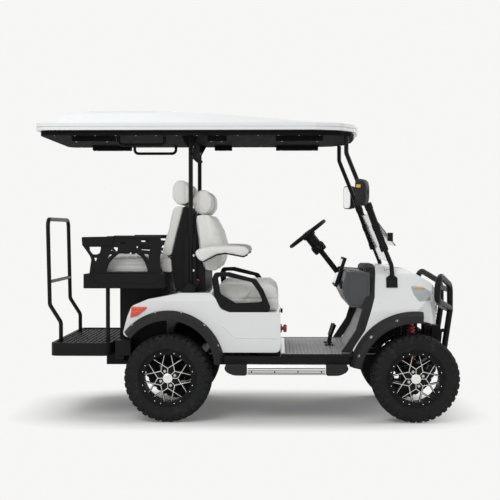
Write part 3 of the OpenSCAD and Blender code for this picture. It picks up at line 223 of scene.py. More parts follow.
finishes = {
    "white_body": moulded("body_paint", WHITE, 0.22, 1.2, 0.02, 0.015, Coat_Weight=0.5, Coat_Roughness=0.06),
    "roof_white": moulded("roof_shell", ROOF_WHITE, 0.34, 2, 0.03, 0.02),
    "black_plastic": moulded("black_moulding", BLACK, 0.5, 1.5, 0.16, 0.2, **DULL),
    "liner_black": moulded("roof_lining", BLACK, 0.75, 1.5, 0.2, 0.25, **FLAT),
    "charcoal_plastic": moulded("charcoal_moulding", CHARCOAL, 0.55, 1.4, 0.22, **DULL),
    "slate_plastic": moulded("slate_moulding", SLATE, 0.42, 1.1, 0.1),
    "putty_panel": moulded("putty_panel", PUTTY, 0.6, 1.6, 0.15),
    "frame_steel": moulded("powder_coat", BLACK, 0.36, 0.9, 0.06, 0.15, **DULL),
    "gloss_black": moulded("gloss_black", (0.008, 0.008, 0.009), 0.16, depth=0, Coat_Weight=0.6),
    "spring_red": moulded("spring_red", RED, 0.3, depth=0.03, Coat_Weight=0.4),
    "leather": leathered("pale_leather", CREAM),
    "aluminium": brushed("ribbed_aluminium", (0.78, 0.78, 0.77), 0.32, (0.02, 1, 1)),
    "machined": brushed("machined_alloy", (0.83, 0.82, 0.80), 0.2, (1, 0.1, 1)),
    "bolt_steel": brushed("bolt_steel", (0.62, 0.62, 0.6), 0.3, (1, 1, 0.2)),
    "glass": clear("screen_glass", (0.70, 0.73, 0.73), 0.08, 0.05),
    "lamp_amber": moulded("amber_lens", AMBER, 0.14, 3, 0.2, Coat_Weight=0.6),
    "lamp_pale": moulded("pale_lens", (0.40, 0.42, 0.44), 0.1, 6, 0.4, 0.3, Coat_Weight=0.8),
    "rim_black": moulded("rim_black", (0.006, 0.006, 0.0065), 0.3, depth=0.02, **DULL),
    "lamp_red": moulded("red_lens", (0.74, 0.07, 0.03), 0.12, 3, 0.25, Coat_Weight=0.7),
    "display": moulded("display_glass", (0.012, 0.014, 0.018), 0.07, depth=0, Coat_Weight=0.8),
    "mirror": brushed("mirror_glass", (0.88, 0.89, 0.9), 0.03, (1, 1, 1)),
    "tyre": rubbery("tyre_rubber", RUBBER, DUST),
    "mat": moulded("floor_mat", (0.3, 0.305, 0.31), 0.5, 1.8, 0.2),
}

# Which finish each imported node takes
NODE_FINISH = {
    "frame_steel": "chassis_rails cross_members front_arms rear_axle drive_motor leaf_springs knuckle_left "
    "knuckle_right grab_rail footboard_posts tow_hitch brush_guard front_pillars mid_pillars steering_column",
    "black_plastic": "battery_pack sills front_liner rear_footboard rear_sides hip_restraints "
    "roof_handles seat_shell rear_tray steering_wheel pedals bumpers",
    "liner_black": "roof_liner",
    "charcoal_plastic": "board_caps wheel_flares mirrors cowl_trim",
    "slate_plastic": "dashboard",
    "white_body": "front_cowl rear_body",
    "roof_white": "roof_canopy",
    "spring_red": "front_coilovers",
    "leather": "front_cushion front_backrests headrests rear_backrests rear_cushion front_armrests",
    "aluminium": "running_boards",
    "rim_black": "rim_fl rim_fr rim_rl rim_rr",
    "tyre": "tyre_fl tyre_fr tyre_rl tyre_rr",
    "glass": "windscreen",
    "lamp_pale": "headlamps",
    "lamp_red": "tail_lamps",
    "display": "display_screen",
    "mat": "floor_pan",
}
for finish, members in NODE_FINISH.items():
    for member in members.split():
        nodes[member].data.materials.clear()
        nodes[member].data.materials.append(finishes[finish])


# Mesh helpers


def add(name, shape, finish, body="root", stands_for=None, smooth_angle=40, edge=0, segments=2):
    """Links a mesh or bmesh as a piece that rides on a body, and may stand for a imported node."""
    mesh = shape if isinstance(shape, bpy.types.Mesh) else from_bmesh(name, shape)
    made = bpy.data.objects.new(name, mesh)
    bpy.context.scene.collection.objects.link(made)
    if finish:
        mesh.materials.append(finishes[finish])
    mesh.shade_smooth()
    if smooth_angle:
        mesh.set_sharp_from_angle(angle=math.radians(smooth_angle))
    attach(made, body)
    if stands_for:
        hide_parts(stands_for)
    if edge:
        bevelled(made, edge, segments)
    return made


def from_bmesh(name, bm):
    """A mesh made from a bmesh, with its normals turned outward."""
    bmesh.ops.recalc_face_normals(bm, faces=bm.faces)
    mesh = bpy.data.meshes.new(name)
    bm.to_mesh(mesh)
    bm.free()
    return mesh


def skin(bm, rings, around=False):
    """Adds quads between neighbouring rings of points, and from the last to the first if they go around."""
    for low, high in zip(rings, rings[1:] + rings[:1] if around else rings[1:]):
        for k in range(len(low)):
            after = (k + 1) % len(low)
            bm.faces.new([low[k], low[after], high[after], high[k]])


def closed_skin(bm, rings):
    """Adds quads between rings of points, and closes the two ends."""
    skin(bm, rings)
    bm.faces.new(rings[0][::-1])
    bm.faces.new(rings[-1])


def from_rings(name, rings, around):
    """A mesh over rings of points."""
    bm = bmesh.new()
    skin(bm, [[bm.verts.new(p) for p in ring] for ring in rings], around)
    return from_bmesh(name, bm)


def lathe(bm, profile, centre, axis, steps):
    """Adds a turned form to a bmesh: profile holds (radius, distance along the axis) pairs."""
    axis = Vector(axis).normalized()
    across = axis.orthogonal().normalized()
    upward = axis.cross(across)
    rings = []
    for radius, along in profile:
        ring = []
        for k in range(steps):
            angle = 2 * math.pi * k / steps
            arm = across * math.cos(angle) + upward * math.sin(angle)
            ring.append(bm.verts.new(Vector(centre) + axis * (along * MM) + arm * (radius * MM)))
        rings.append(ring)
    closed_skin(bm, rings)


def dome(bm, centre, axis, radius, height, steps, rings, sink):
    """Adds a domed button to a bmesh, its foot sunk below the centre."""
    profile = [(radius, -sink)]
    for k in range(rings + 1):
        angle = math.pi / 2 * k / (rings + 0.35)
        profile.append((radius * math.cos(angle), height * math.sin(angle)))
    lathe(bm, profile, centre, axis, steps)


def hex_bolt(bm, centre, axis, across, height):
    """Adds a hexagonal head on a washer with a chamfered top."""
    lathe(bm, [(across * 0.72, 0), (across * 0.72, height * 0.2)], centre, axis, 20)
    top = [(across * 0.577, height * 0.2), (across * 0.577, height * 0.85), (across * 0.48, height)]
    lathe(bm, top, centre, axis, 6)


def sweep(bm, path, radius, steps, flat=1.0):
    """Adds a tube along a path; radius may be a list, and flat squeezes it along the second axis."""
    path = [Vector(p) for p in path]
    rings, side = [], None
    for i, point in enumerate(path):
        forward = (path[min(i + 1, len(path) - 1)] - path[max(i - 1, 0)]).normalized()
        side = (side - forward * side.dot(forward) if i else forward.orthogonal()).normalized()
        size = (radius[i] if isinstance(radius, list) else radius) * MM
        wide, tall = side * size, side.cross(forward) * size * flat
        turns = [2 * math.pi * k / steps for k in range(steps)]
        rings.append([bm.verts.new(point + wide * math.cos(t) + tall * math.sin(t)) for t in turns])
    closed_skin(bm, rings)


def slab(bm, outline, lift, drop=(0, 0, 0)):
    """Adds a prism: outline is a loop of points, which lift and drop move to its two faces."""
    closed_skin(bm, [[bm.verts.new(Vector(p) + Vector(move)) for p in outline] for move in (drop, lift)])


def brick(bm, low, high):
    """Adds a box between two corners to a bmesh."""
    (a, b, c), (d, e, f) = low, high
    slab(bm, [(a, b, c), (d, b, c), (d, e, c), (a, e, c)], (0, 0, f - c))


def both_sides(make):
    """Calls make(side) for the right, -1, and the left, +1."""
    for side in SIDES:
        make(side)


def bevelled(piece, width, segments):
    """Rounds a piece's edges with a bevel."""
    made = piece.modifiers.new("edges", "BEVEL")
    made.width = width * MM
    made.segments = segments
    made.limit_method = "ANGLE"
    made.angle_limit = math.radians(35)
    made.harden_normals = False


# Tyres: a turned carcass with grooves and lugs pressed into it
WHEELS = {"fl": 1, "fr": -1, "rl": 1, "rr": -1}
TREAD_PITCHES, POINTS_A_PITCH, SECTION_POINTS = 38, 10, 40
TREAD_DEPTH, SIDE_LUG = 10 * MM, 5 * MM
AROUND = TREAD_PITCHES * POINTS_A_PITCH
# Half section from bead to crown: share of the sidewall's height, share of the half width
SECTION = [(0.0, 0.82), (0.07, 0.90), (0.2, 0.965), (0.42, 1.0), (0.62, 0.995), (0.78, 0.965), (0.9, 0.90)]
SECTION += [(0.965, 0.81), (0.99, 0.66), (1.0, 0.42), (1.0, 0.18), (1.0, 0.0)]


def spline(points, count):
    """Points along a smooth curve through the given ones."""
    points = [Vector(p) for p in points]
    ends = [points[0] * 2 - points[1], *points, points[-1] * 2 - points[-2]]
    made = []
    for k in range(count):
        t = k / (count - 1) * (len(points) - 1)
        i = min(int(t), len(points) - 2)
        a, b, c, d = ends[i : i + 4]
        f = t - i
        bend = 2 * b + (c - a) * f + (2 * a - 5 * b + 4 * c - d) * f * f
        made.append(0.5 * (bend + (3 * b - a - 3 * c + d) * f**3))
    return made


def zigzag(t):
    """A triangle wave from -1 to 1."""
    return abs((t % 1.0) * 4 - 2) - 1


def in_groove(distance, half_width, edge):
    """1 in the middle of a groove, 0 outside it."""
    return 1 - smooth((abs(distance) - half_width) / edge)


def tread_relief(pitch, across, height):
    """How far the tyre is pressed in, at a pitch round it, across it from -1 to 1, up a share of its wall."""
    v = abs(across)
    hand = 0.5 if across > 0 else 0.0
    local = (pitch + hand) % 1.0
    if height > 0.93:
        centre = in_groove(v - 0.16 - 0.035 * zigzag(pitch + hand), 0.035, 0.03)
        shoulder = in_groove(v - 0.46 - 0.05 * zigzag(pitch + hand + 0.25), 0.04, 0.03)
        inner = in_groove(local - 0.5 - 0.5 * (v - 0.3), 0.1, 0.06) if 0.2 < v < 0.46 else 0.0
        middle = in_groove(local - 0.25 - v, 0.07, 0.05) if v < 0.14 else 0.0
        outer = 1 - smooth((0.4 - abs(local - 0.5)) / 0.07) if v > 0.46 else 0.0
        sipe = 0.5 * in_groove(local - 0.5 + 0.15 * zigzag(v * 9), 0.02, 0.02) if v > 0.5 else 0.0
        return TREAD_DEPTH * max(centre, shoulder, inner * 0.9, middle * 0.7, outer, sipe)
    # Shoulder lugs in a chevron, every other one reaching further down the sidewall
    long_lug = int(math.floor(pitch + hand)) % 2
    drop = smooth((height - (0.60 if long_lug else 0.70)) / 0.05)
    lean = 0.22 * zigzag((height - 0.6) * 4.2) * (1 if long_lug else -1)
    lug = smooth((0.36 - abs(local - 0.5 - lean * 0.5)) / 0.07) * drop
    deep = TREAD_DEPTH * smooth((height - 0.78) / 0.15)
    between = lerp(SIDE_LUG * drop, deep, smooth((height - 0.8) / 0.13))
    return between * (1 - lug) - SIDE_LUG * 0.25 * lug * (1 - smooth((height - 0.7) / 0.2))


def side_rings(height):
    """Raised rings and steps on the plain part of the sidewall."""
    guard = 2.2 * MM * in_groove(height - 0.13, 0.03, 0.025)
    return guard + 0.9 * MM * (in_groove(height - 0.27, 0.006, 0.012) + in_groove(height - 0.5, 0.006, 0.012))


def make_tyre(corner):
    """One tyre: sections of points round the wheel's axis."""
    low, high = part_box("tyre_" + corner)
    centre = (low + high) / 2
    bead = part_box("rim_" + corner)[1].z - centre.z + 0.6 * MM
    wall, half_width = (high.z - low.z) / 2 - bead, (high.y - low.y) / 2
    half = spline([(h, w, 0) for h, w in SECTION], SECTION_POINTS)
    outline = [(p.x, p.y) for p in half] + [(p.x, -p.y) for p in reversed(half[:-1])]
    slopes = []
    for i in range(len(outline)):
        (h0, w0), (h1, w1) = outline[max(i - 1, 0)], outline[min(i + 1, len(outline) - 1)]
        along = Vector(((h1 - h0) * wall, (w1 - w0) * half_width)).normalized()
        slopes.append(Vector((-along.y, along.x)))
    rings = []
    for k in range(AROUND):
        angle = 2 * math.pi * k / AROUND
        ring = []
        for (height, width), outward in zip(outline, slopes):
            push = side_rings(height) - tread_relief(TREAD_PITCHES * k / AROUND, width, height)
            reach = bead + wall * min(height, 1.0) + outward.x * push
            y = WHEELS[corner] * (width * half_width + outward.y * push)
            ring.append(centre + Vector((reach * math.cos(angle), y, reach * math.sin(angle))))
        rings.append(ring)
    mesh = from_rings("tread_mesh", rings, True)
    add("tread_" + corner, mesh, "tyre", "wheel_" + corner, "tyre_" + corner, 50)


# Rims: bright lines, star, cap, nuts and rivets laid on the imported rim
FORKS = 8
STEP = 2 * math.pi / FORKS
STAR_R, FORK_R, CROSS_R, LINE_END_R = 69 * MM, 66 * MM, 97 * MM, 156 * MM
LINE_W, LINE_T = 4.2 * MM, 1.6 * MM
NUT_R, RIVET_R, RIVET_COUNT = 50.8 * MM, 172 * MM, 16
CAP_R, POCKET_R = 29, 13
# The spokes' face lies this far inside the outer lip
FACE_INSET = 20 * MM


def rim_dress(corner):
    side, body = WHEELS[corner], "wheel_" + corner
    low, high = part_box("rim_" + corner)
    centre = (low + high) / 2
    outer = high.y if side > 0 else low.y
    outward = Vector((0, side, 0))

    def at(radius, angle, lift=0.0):
        y = outer - side * (FACE_INSET - lift * MM)
        return Vector((centre.x + radius * math.cos(angle), y, centre.z + radius * math.sin(angle)))

    hub = at(0, 0)
    bright = bmesh.new()
    for i in range(FORKS):
        for hand in (-1, 1):
            start = at(FORK_R, i * STEP)
            along = (at(CROSS_R, (i + hand * 0.5) * STEP) - start).normalized()
            # The line goes on through the crossing to its end radius
            lean = (start - hub).dot(along)
            end = start + along * (-lean + math.sqrt(lean * lean + LINE_END_R**2 - FORK_R**2))
            across = along.cross(outward) * LINE_W / 2
            start = start - along * LINE_W * 0.6
            tip = across * 0.62
            corners = [start - across, start + across, end + tip, end - tip]
            slab(bright, corners, outward * (LINE_T + hand * 0.15 * MM))
        # Star petal between the cap and the fork
        petal = ((CAP_R * 0.8 * MM, -0.1), (STAR_R, -0.035), (STAR_R, 0.035), (CAP_R * 0.8 * MM, 0.1))
        slab(bright, [at(radius, (i + turn) * STEP) for radius, turn in petal], outward * LINE_T * 1.8)
    dome(bright, at(0, 0, 8.6), outward, CAP_R, 5.5, 40, 6, 4)
    lathe(bright, [(CAP_R * 1.12, 0), (CAP_R * 1.12, 9), (CAP_R * 1.02, 10.4)], hub, outward, 40)
    for k in range(RIVET_COUNT):
        spot = at(RIVET_R, (k // 2 * 2 + 1 + (0.32 if k % 2 else -0.32)) * 2 * math.pi / RIVET_COUNT)
        spot.y = outer
        dome(bright, spot, outward, 3.6, 2.6, 12, 3, 0.5)
    add("rim_bright_" + corner, bright, "machined", body, None, 30, 0.5)
    pockets, nuts = bmesh.new(), bmesh.new()
    for k in range(4):
        angle = (2 * k + 0.5) * STEP
        ring = [(POCKET_R, 0), (POCKET_R, 2.9), (POCKET_R * 0.8, 2.9), (POCKET_R * 0.75, 1)]
        lathe(pockets, ring, at(NUT_R, angle), outward, 24)
        hex_bolt(nuts, at(NUT_R, angle, 1.0), outward, 13, 9)
    add("rim_pockets_" + corner, pockets, "rim_black", body, None, 30)
    add("rim_nuts_" + corner, nuts, "bolt_steel", body, None, 30)


for corner in WHEELS:
    make_tyre(corner)
    rim_dress(corner)


# Padded pieces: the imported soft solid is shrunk, remeshed, blown up as cloth, then sewn
PAD_VOXEL, SEW_WIDTH = 10 * MM, 7 * MM
SWELL_FRAMES, SWELL_PRESSURE = 20, 4.0


def packed(node):
    """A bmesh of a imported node's solids."""
    bm = bmesh.new()
    bm.from_mesh(nodes[node].data)
    bmesh.ops.remove_doubles(bm, verts=bm.verts, dist=1e-5)
    return bm


def prism(outline, low_y, high_y):
    """A bmesh of a side outline, in millimetres along X and Z, drawn out across the vehicle."""
    bm = bmesh.new()
    slab(bm, [(x * MM, low_y * MM, z * MM) for x, z in outline], (0, (high_y - low_y) * MM, 0))
    return bm


def relaxed(mesh, rounds):
    """Evens out a mesh's points towards their neighbours."""
    axes = {"use_axis_x": True, "use_axis_y": True, "use_axis_z": True}
    bm = bmesh.new()
    bm.from_mesh(mesh)
    for _ in range(rounds):
        bmesh.ops.smooth_vert(bm, verts=bm.verts, factor=0.5, **axes)
    bm.to_mesh(mesh)
    bm.free()


def run_modifier(piece):
    """Applies the piece's modifiers at the current frame."""
    graph = bpy.context.evaluated_depsgraph_get()
    made = bpy.data.meshes.new_from_object(piece.evaluated_get(graph), depsgraph=graph)
    piece.modifiers.clear()
    old, piece.data = piece.data, made
    bpy.data.meshes.remove(old)


def read_points(mesh, kind="co"):
    """A mesh's points or normals, one a row."""
    values = np.zeros(len(mesh.vertices) * 3)
    mesh.vertices.foreach_get(kind, values)
    return values.reshape(-1, 3)


def set_points(mesh, points):
    """Moves a mesh's points."""
    mesh.vertices.foreach_set("co", points.ravel())
    mesh.update()


def blown(piece, cap):
    """Swells the piece as a cloth skin under pressure, no point moving further than the cap."""
    start = read_points(piece.data)
    cloth = piece.modifiers.new("swell", "CLOTH")
    settings = cloth.settings
    settings.quality = 4
    settings.mass = 0.3
    settings.tension_stiffness = settings.compression_stiffness = 12
    settings.shear_stiffness = 8
    settings.bending_stiffness = 1.5
    settings.use_pressure = True
    settings.uniform_pressure_force = SWELL_PRESSURE
    settings.effector_weights.gravity = 0
    cloth.collision_settings.use_collision = False
    cloth.point_cache.frame_end = SWELL_FRAMES
    for step in range(1, SWELL_FRAMES + 1):
        bpy.context.scene.frame_set(step)
    run_modifier(piece)
    bpy.context.scene.frame_set(1)
    moved = read_points(piece.data) - start
    moved -= moved.mean(0)
    far = np.linalg.norm(moved, axis=1, keepdims=True)
    set_points(piece.data, start + moved * np.minimum(1.0, cap * MM / np.maximum(far, 1e-9)))


def sewn(piece, seams):
    """Presses seams into the piece: each gives (distance to its line, depth) for points and normals."""
    points, normals = read_points(piece.data), read_points(piece.data, "normal")
    depth = np.zeros(len(points))
    for seam in seams:
        distance, deep = seam(points, normals)
        depth = np.maximum(depth, deep * np.exp(-((distance / SEW_WIDTH) ** 2)))
    set_points(piece.data, points - normals * depth[:, None])


def padded(name, bm, body, stands_for, shrink, cap, seams, rounds=8):
    """One padded piece from the solid in a bmesh."""
    piece = add(name, bm, None, body, stands_for, None)
    bpy.context.view_layer.update()
    remesh = piece.modifiers.new("voxels", "REMESH")
    remesh.mode = "VOXEL"
    remesh.voxel_size = PAD_VOXEL
    run_modifier(piece)
    relaxed(piece.data, rounds)
    set_points(piece.data, read_points(piece.data) - read_points(piece.data, "normal") * (shrink * MM))
    blown(piece, cap)
    piece.modifiers.new("finer", "SUBSURF").levels = 1
    run_modifier(piece)
    sewn(piece, seams)
    piece.data.materials.clear()
    piece.data.materials.append(finishes["leather"])
    piece.data.shade_smooth()
    return piece


def padded_pair(name, bm, stands_for, shrink, cap, seams, rounds):
    """A padded piece on the left, and the same one across the vehicle's middle."""
    mesh = padded(name + "_left", bm, "root", stands_for, shrink, cap, seams, rounds).data.copy()
    mesh.transform(Matrix.Scale(-1, 4, (0, 1, 0)))
    mesh.flip_normals()
    right = bpy.data.objects.new(name + "_right", mesh)
    bpy.context.scene.collection.objects.link(right)
    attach(right, "root")
    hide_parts(stands_for)


def looking(normals, facing, least):
    """1 on faces that look that way, 0 where the normal has less than a share along it."""
    return np.clip((normals @ np.array(facing) - least) / 0.25, 0, 1)


def channel(axis, value, facing, depth, least=0.35, within=None):
    """A seam in the plane axis = value, on faces that look one way, between two limits across the vehicle."""

    def seam(points, normals):
        deep = np.full(len(points), depth * MM)
        if facing is not None:
            deep = deep * looking(normals, facing, least)
        if within:
            y, fade = points[:, 1], 12 * MM
            deep = deep * np.clip((y - within[0]) / fade, 0, 1) * np.clip((within[1] - y) / fade, 0, 1)
        return points[:, axis] - value, deep

    return seam


def rim_seam(low, high, inset=0.055, radius=0.05):
    """A seam round a seat's top: a rounded rectangle inset from a box's sides."""

    def seam(points, normals):
        a = np.abs(points[:, 0] - (low[0] + high[0]) / 2) - (high[0] - low[0]) / 2 + inset + radius
        b = np.abs(points[:, 1] - (low[1] + high[1]) / 2) - (high[1] - low[1]) / 2 + inset + radius
        outside = np.hypot(np.maximum(a, 0), np.maximum(b, 0)) + np.minimum(np.maximum(a, b), 0) - radius
        return outside, 6 * MM * looking(normals, UPWARD, 0.3)

    return seam


UPWARD = (0, 0, 1)
# Side outlines of the pads, in millimetres
FRONT_BACK = ((-290, 995), (-331, 1144), (-358, 1389), (-262, 1392))
FRONT_BACK += ((-201, 1279), (-172, 1172), (-181, 1066), (-206, 995))
REAR_BACK = ((-586, 1092), (-594, 1112), (-543, 1290), (-508, 1440))
REAR_BACK += ((-492, 1456), (-440, 1456), (-436, 1440), (-525, 1092))
REAR_ROLL = ((-592, 988), (-600, 1030), (-592, 1084), (-570, 1094), (-522, 1092), (-516, 988))
# Side outlines as shares of a box
HEADREST = ((0.3, 0), (0.72, 0), (1, 0.3), (0.98, 0.72), (0.74, 1), (0.3, 0.99), (0, 0.62), (0.06, 0.2))
ARMREST = ((0, 0.6), (0.06, 0.8), (0.29, 0.97), (0.61, 1), (0.89, 0.97), (0.975, 0.82), (1, 0.6))
# The armrest's underside, which its shell covers, then its pivot
ARMREST_UNDER = ((0.965, 0.42), (0.89, 0.3), (0.79, 0.36), (0.56, 0.5), (0.41, 0.42), (0.26, 0.17), (0.16, 0))
ARMREST_PIVOT = ((0.075, 0.09), (0.01, 0.42))
# Headrests: the way they face, X and Z limits in millimetres; and their inner and outer sides
HEADRESTS = {"front_headrest": (1, -384, -246, 1386, 1558), "rear_headrest": (-1, -524, -386, 1450, 1624)}
HEADREST_Y = (74, 380)


def make_front_bench():
    low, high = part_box("front_cushion")
    seams = [rim_seam(low, (high.x, 0)), rim_seam((low.x, 0), high)]
    for share in (0.3, 0.5, 0.7):
        for side in SIDES:
            limits = [high.y * (side / 2 + edge) for edge in (-0.36, 0.36)]
            seams.append(channel(0, lerp(low.x, high.x, share), UPWARD, 5, within=limits))
    seams.append(channel(2, lerp(low.z, high.z, 0.42), None, 4))
    seams.append(channel(1, 0.0, UPWARD, 8, 0.0))
    padded("bench_pad", packed("front_cushion"), "front_seat_lid", "front_cushion", 9, 9, seams)


def make_back(name, node, facing, outline):
    low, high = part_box(node)
    ahead = (facing, 0, 0)
    limits = [high.y * (0.5 + edge) for edge in (-0.33, 0.33)]
    seams = [channel(1, limit, ahead, 7, 0.2) for limit in limits]
    for share in (0.2, 0.36, 0.52, 0.68):
        seams.append(channel(2, lerp(low.z, high.z, share), ahead, 4.5, 0.3, limits))
    # Seam along the bolster's side, halfway between its face and its back
    across = [x * MM for x, _ in outline]

    def flank(points, normals):
        lean = 0.3 * (points[:, 2] - (low.z + high.z) / 2)
        spine = lerp(min(across), max(across), 0.5) + facing * (0.03 - lean)
        return points[:, 0] - spine, 4 * MM * np.clip((np.abs(normals[:, 1]) - 0.5) / 0.3, 0, 1)

    padded_pair(name, prism(outline, 7, high.y / MM), node, 5, 9, [*seams, flank], 6)


def make_headrests():
    inner, outer = HEADREST_Y
    for name, (facing, left, right, low, high) in HEADRESTS.items():
        shares = HEADREST if facing > 0 else [(1 - u, v) for u, v in HEADREST]
        outline = [(lerp(left, right, u), lerp(low, high, v)) for u, v in shares]
        seams = [channel(1, lerp(inner, outer, t) * MM, (facing, 0, 0.3), 6, -0.2) for t in (0.16, 0.84)]
        seams.append(channel(0, lerp(left, right, 0.5 - facing * 0.2) * MM, None, 4))
        padded_pair(name, prism(outline, inner, outer), "headrests", 3, 8, seams, 4)


def make_rear_bench():
    low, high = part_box("rear_cushion")
    seams = [channel(0, lerp(low.x, high.x, share), UPWARD, 5) for share in (0.22, 0.36, 0.5, 0.64)]
    seams += [channel(2, lerp(low.z, high.z, share), None, 4) for share in (0.45, 0.68)]
    seams.append(channel(1, 0.0, UPWARD, 7, 0.0))
    padded("rear_bench_pad", packed("rear_cushion"), "rear_seat_lid", "rear_cushion", 9, 10, seams)


def make_armrests():
    low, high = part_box("front_armrests")
    inner, outer = high.y - 66 * MM, high.y + 4 * MM

    def sized(shares):
        return [(lerp(low.x, high.x, u) / MM, lerp(low.z, high.z, v) / MM) for u, v in shares]

    seams = [channel(1, lerp(inner, outer, share), UPWARD, 2.5, 0.4) for share in (0.3, 0.7)]
    bm = prism(sized(ARMREST + ARMREST_UNDER + ARMREST_PIVOT), inner / MM, outer / MM)
    padded_pair("armrest_pad", bm, "front_armrests", 3, 6, seams, 3)
    # Black shell under the pad, from the tip to the pivot
    under = sized(ARMREST_UNDER)
    for side in SIDES:
        bm = bmesh.new()
        foot, width = side * (inner + 8 * MM), (0, side * (outer - inner - 14 * MM), 0)
        for (x0, z0), (x1, z1) in zip(under, under[1:]):
            corners = ((x0, z0 + 5), (x1, z1 + 5), (x1, z1 - 4), (x0, z0 - 4))
            slab(bm, [(x * MM, foot, z * MM) for x, z in corners], width)
        bmesh.ops.remove_doubles(bm, verts=bm.verts, dist=1e-6)
        add("armrest_shell_" + SIDES[side], bm, "black_plastic", edge=2)


make_front_bench()
make_back("front_back", "front_backrests", 1, FRONT_BACK)
make_back("rear_back", "rear_backrests", -1, REAR_BACK)
roll = prism(REAR_ROLL, 7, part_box("rear_backrests")[1].y / MM)
padded_pair("rear_roll", roll, "rear_backrests", 4, 7, [], 4)
make_headrests()
make_rear_bench()
make_armrests()


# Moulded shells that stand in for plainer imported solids
def softened(loop, radius):
    """A loop whose corners are cut back by up to a radius and rounded."""
    made, count = [], len(loop)
    for k, here in enumerate(loop):
        here = Vector(here)
        before, after = Vector(loop[k - 1]), Vector(loop[(k + 1) % count])
        reach = min(radius, (before - here).length * 0.45, (after - here).length * 0.45)
        start = here + (before - here).normalized() * reach
        end = here + (after - here).normalized() * reach
        for t in (0.0, 0.25, 0.5, 0.75, 1.0):
            made.append(lerp(lerp(start, here, t), lerp(here, end, t), t))
    return made


def pierced(name, loops, low, high, edge, upright):
    """A plate with rounded edges cut from an outline and its holes: across Y if upright, else along Z."""
    curve = bpy.data.curves.new(name, "CURVE")
    curve.dimensions = "2D"
    curve.fill_mode = "BOTH"
    curve.extrude = (high - low) / 2 * MM - edge * MM
    curve.bevel_depth = edge * MM
    curve.offset = -edge * MM
    curve.bevel_resolution = 2
    for loop in loops:
        line = curve.splines.new("POLY")
        line.points.add(len(loop) - 1)
        for point, (u, v) in zip(line.points, loop):
            point.co = (u * MM, v * MM, 0, 1)
        line.use_cyclic_u = True
    holder = bpy.data.objects.new(name, curve)
    bpy.context.scene.collection.objects.link(holder)
    graph = bpy.context.evaluated_depsgraph_get()
    mesh = bpy.data.meshes.new_from_object(holder.evaluated_get(graph))
    bpy.data.objects.remove(holder)
    bpy.data.curves.remove(curve)
    middle = (low + high) / 2 * MM
    for v in mesh.vertices:
        u, w, t = v.co
        v.co = (u, middle - t, w) if upright else (u, w, middle + t)
    return mesh


def plate(name, outline, corner, across, edge, finish="black_plastic", slot="black_plastic", stands_for=None,
          holes=(), upright=True):
    """A plate with softened corners between two values of Y, or of Z if it isn't upright, in millimetres."""
    mesh = pierced(name, [softened(outline, corner), *holes], *across, edge, upright)
    add(name, mesh, finish, stands_for=stands_for)


def side_plate(name, side, outline, corner, across, *rest, **more):
    """A plate on one side of the vehicle, between two distances from its middle."""
    plate(f"{name}_{SIDES[side]}", outline, corner, sorted(side * y for y in across), *rest, **more)


# Armrest panel over the rear seat, as shares of its box
SIDE_X, SIDE_Z, SIDE_L, SIDE_H = -1094.8, 985.3, 540, 257
SIDE_OUTLINE = ((0.0635, 0), (0.074, 0.186), (0.088, 0.383), (0.0675, 0.482), (0.007, 0.665), (-0.013, 0.72))
SIDE_OUTLINE += ((-0.02, 0.96), (0.36, 0.974), (0.369, 1), (0.925, 1), (0.978, 0.8), (0.958, 0.69))
SIDE_OUTLINE += ((0.938, 0.41), (0.951, 0))
SIDE_ARCH = ((0.262, 0.05), (0.302, 0.27), (0.3555, 0.41), (0.422, 0.524), (0.456, 0.566), (0.637, 0.552))
SIDE_ARCH += ((0.704, 0.468), (0.757, 0.3), (0.79, 0.1), (0.78, 0.05))
SIDE_WINDOWS = (
    ((0.058, 0.707), (0.21, 0.707), (0.195, 0.552), (0.161, 0.51), (0.101, 0.51), (0.0635, 0.61)),
    ((0.115, 0.42), (0.16, 0.42), (0.1385, 0.3)),
    ((0.325, 0.61), (0.369, 0.7), (0.42, 0.69), (0.412, 0.594)),
    ((0.28, 0.41), (0.309, 0.5), (0.345, 0.51), (0.302, 0.41)),
    ((0.64, 0.71), (0.765, 0.76), (0.717, 0.685), (0.657, 0.67)),
    ((0.70, 0.63), (0.815, 0.715), (0.8175, 0.61)),
    ((0.735, 0.53), (0.8, 0.51), (0.803, 0.36)),
    ((0.425, 0.778), (0.425, 0.833), (0.52, 0.833), (0.52, 0.778)),
    ((0.705, 0.84), (0.705, 0.895), (0.81, 0.895), (0.81, 0.84)),
)
SIDE_CAP = ((0.37, 0.965), (0.37, 1.005), (0.94, 1.005), (0.955, 0.975), (0.93, 0.955))
SIDE_BOX = ((-0.022, 0.73), (-0.03, 0.965), (0.37, 0.98), (0.36, 0.75), (0.03, 0.72))
# Other outlines, in millimetres along X and Z
DASH = ((824, 993), (700, 1001), (666, 1001), (640, 905), (643, 852), (692, 757), (824, 754))
DASH_CHEEK = ((806, 972), (712, 979), (690, 960), (672, 880), (704, 776), (806, 774))
DISPLAY = ((600, 884), (669, 1088), (690, 1081), (621, 877))
BACK_SHELL = ((-438, 1442), (-524, 1094), (-514, 990), (-500, 880), (-430, 880), (-396, 1380), (-412, 1442))
TRAY_SKIRT = ((-1098, 889), (-564, 889), (-569, 987), (-1098, 987))
TRAY_LIP = ((-1098, 889), (-1040, 889), (-1040, 979), (-1098, 979))
KICK_PANEL = ((716, 462), (806, 648), (850, 640), (800, 462))
TAIL_LENS = ((-777, 766), (-672, 764), (-684, 746), (-737, 705), (-787, 692))
TAIL_BAND = ((-770, 761), (-690, 759), (-706, 746), (-774, 742))
TAIL_FOG = ((-776, 734), (-722, 738), (-744, 716), (-781, 704))
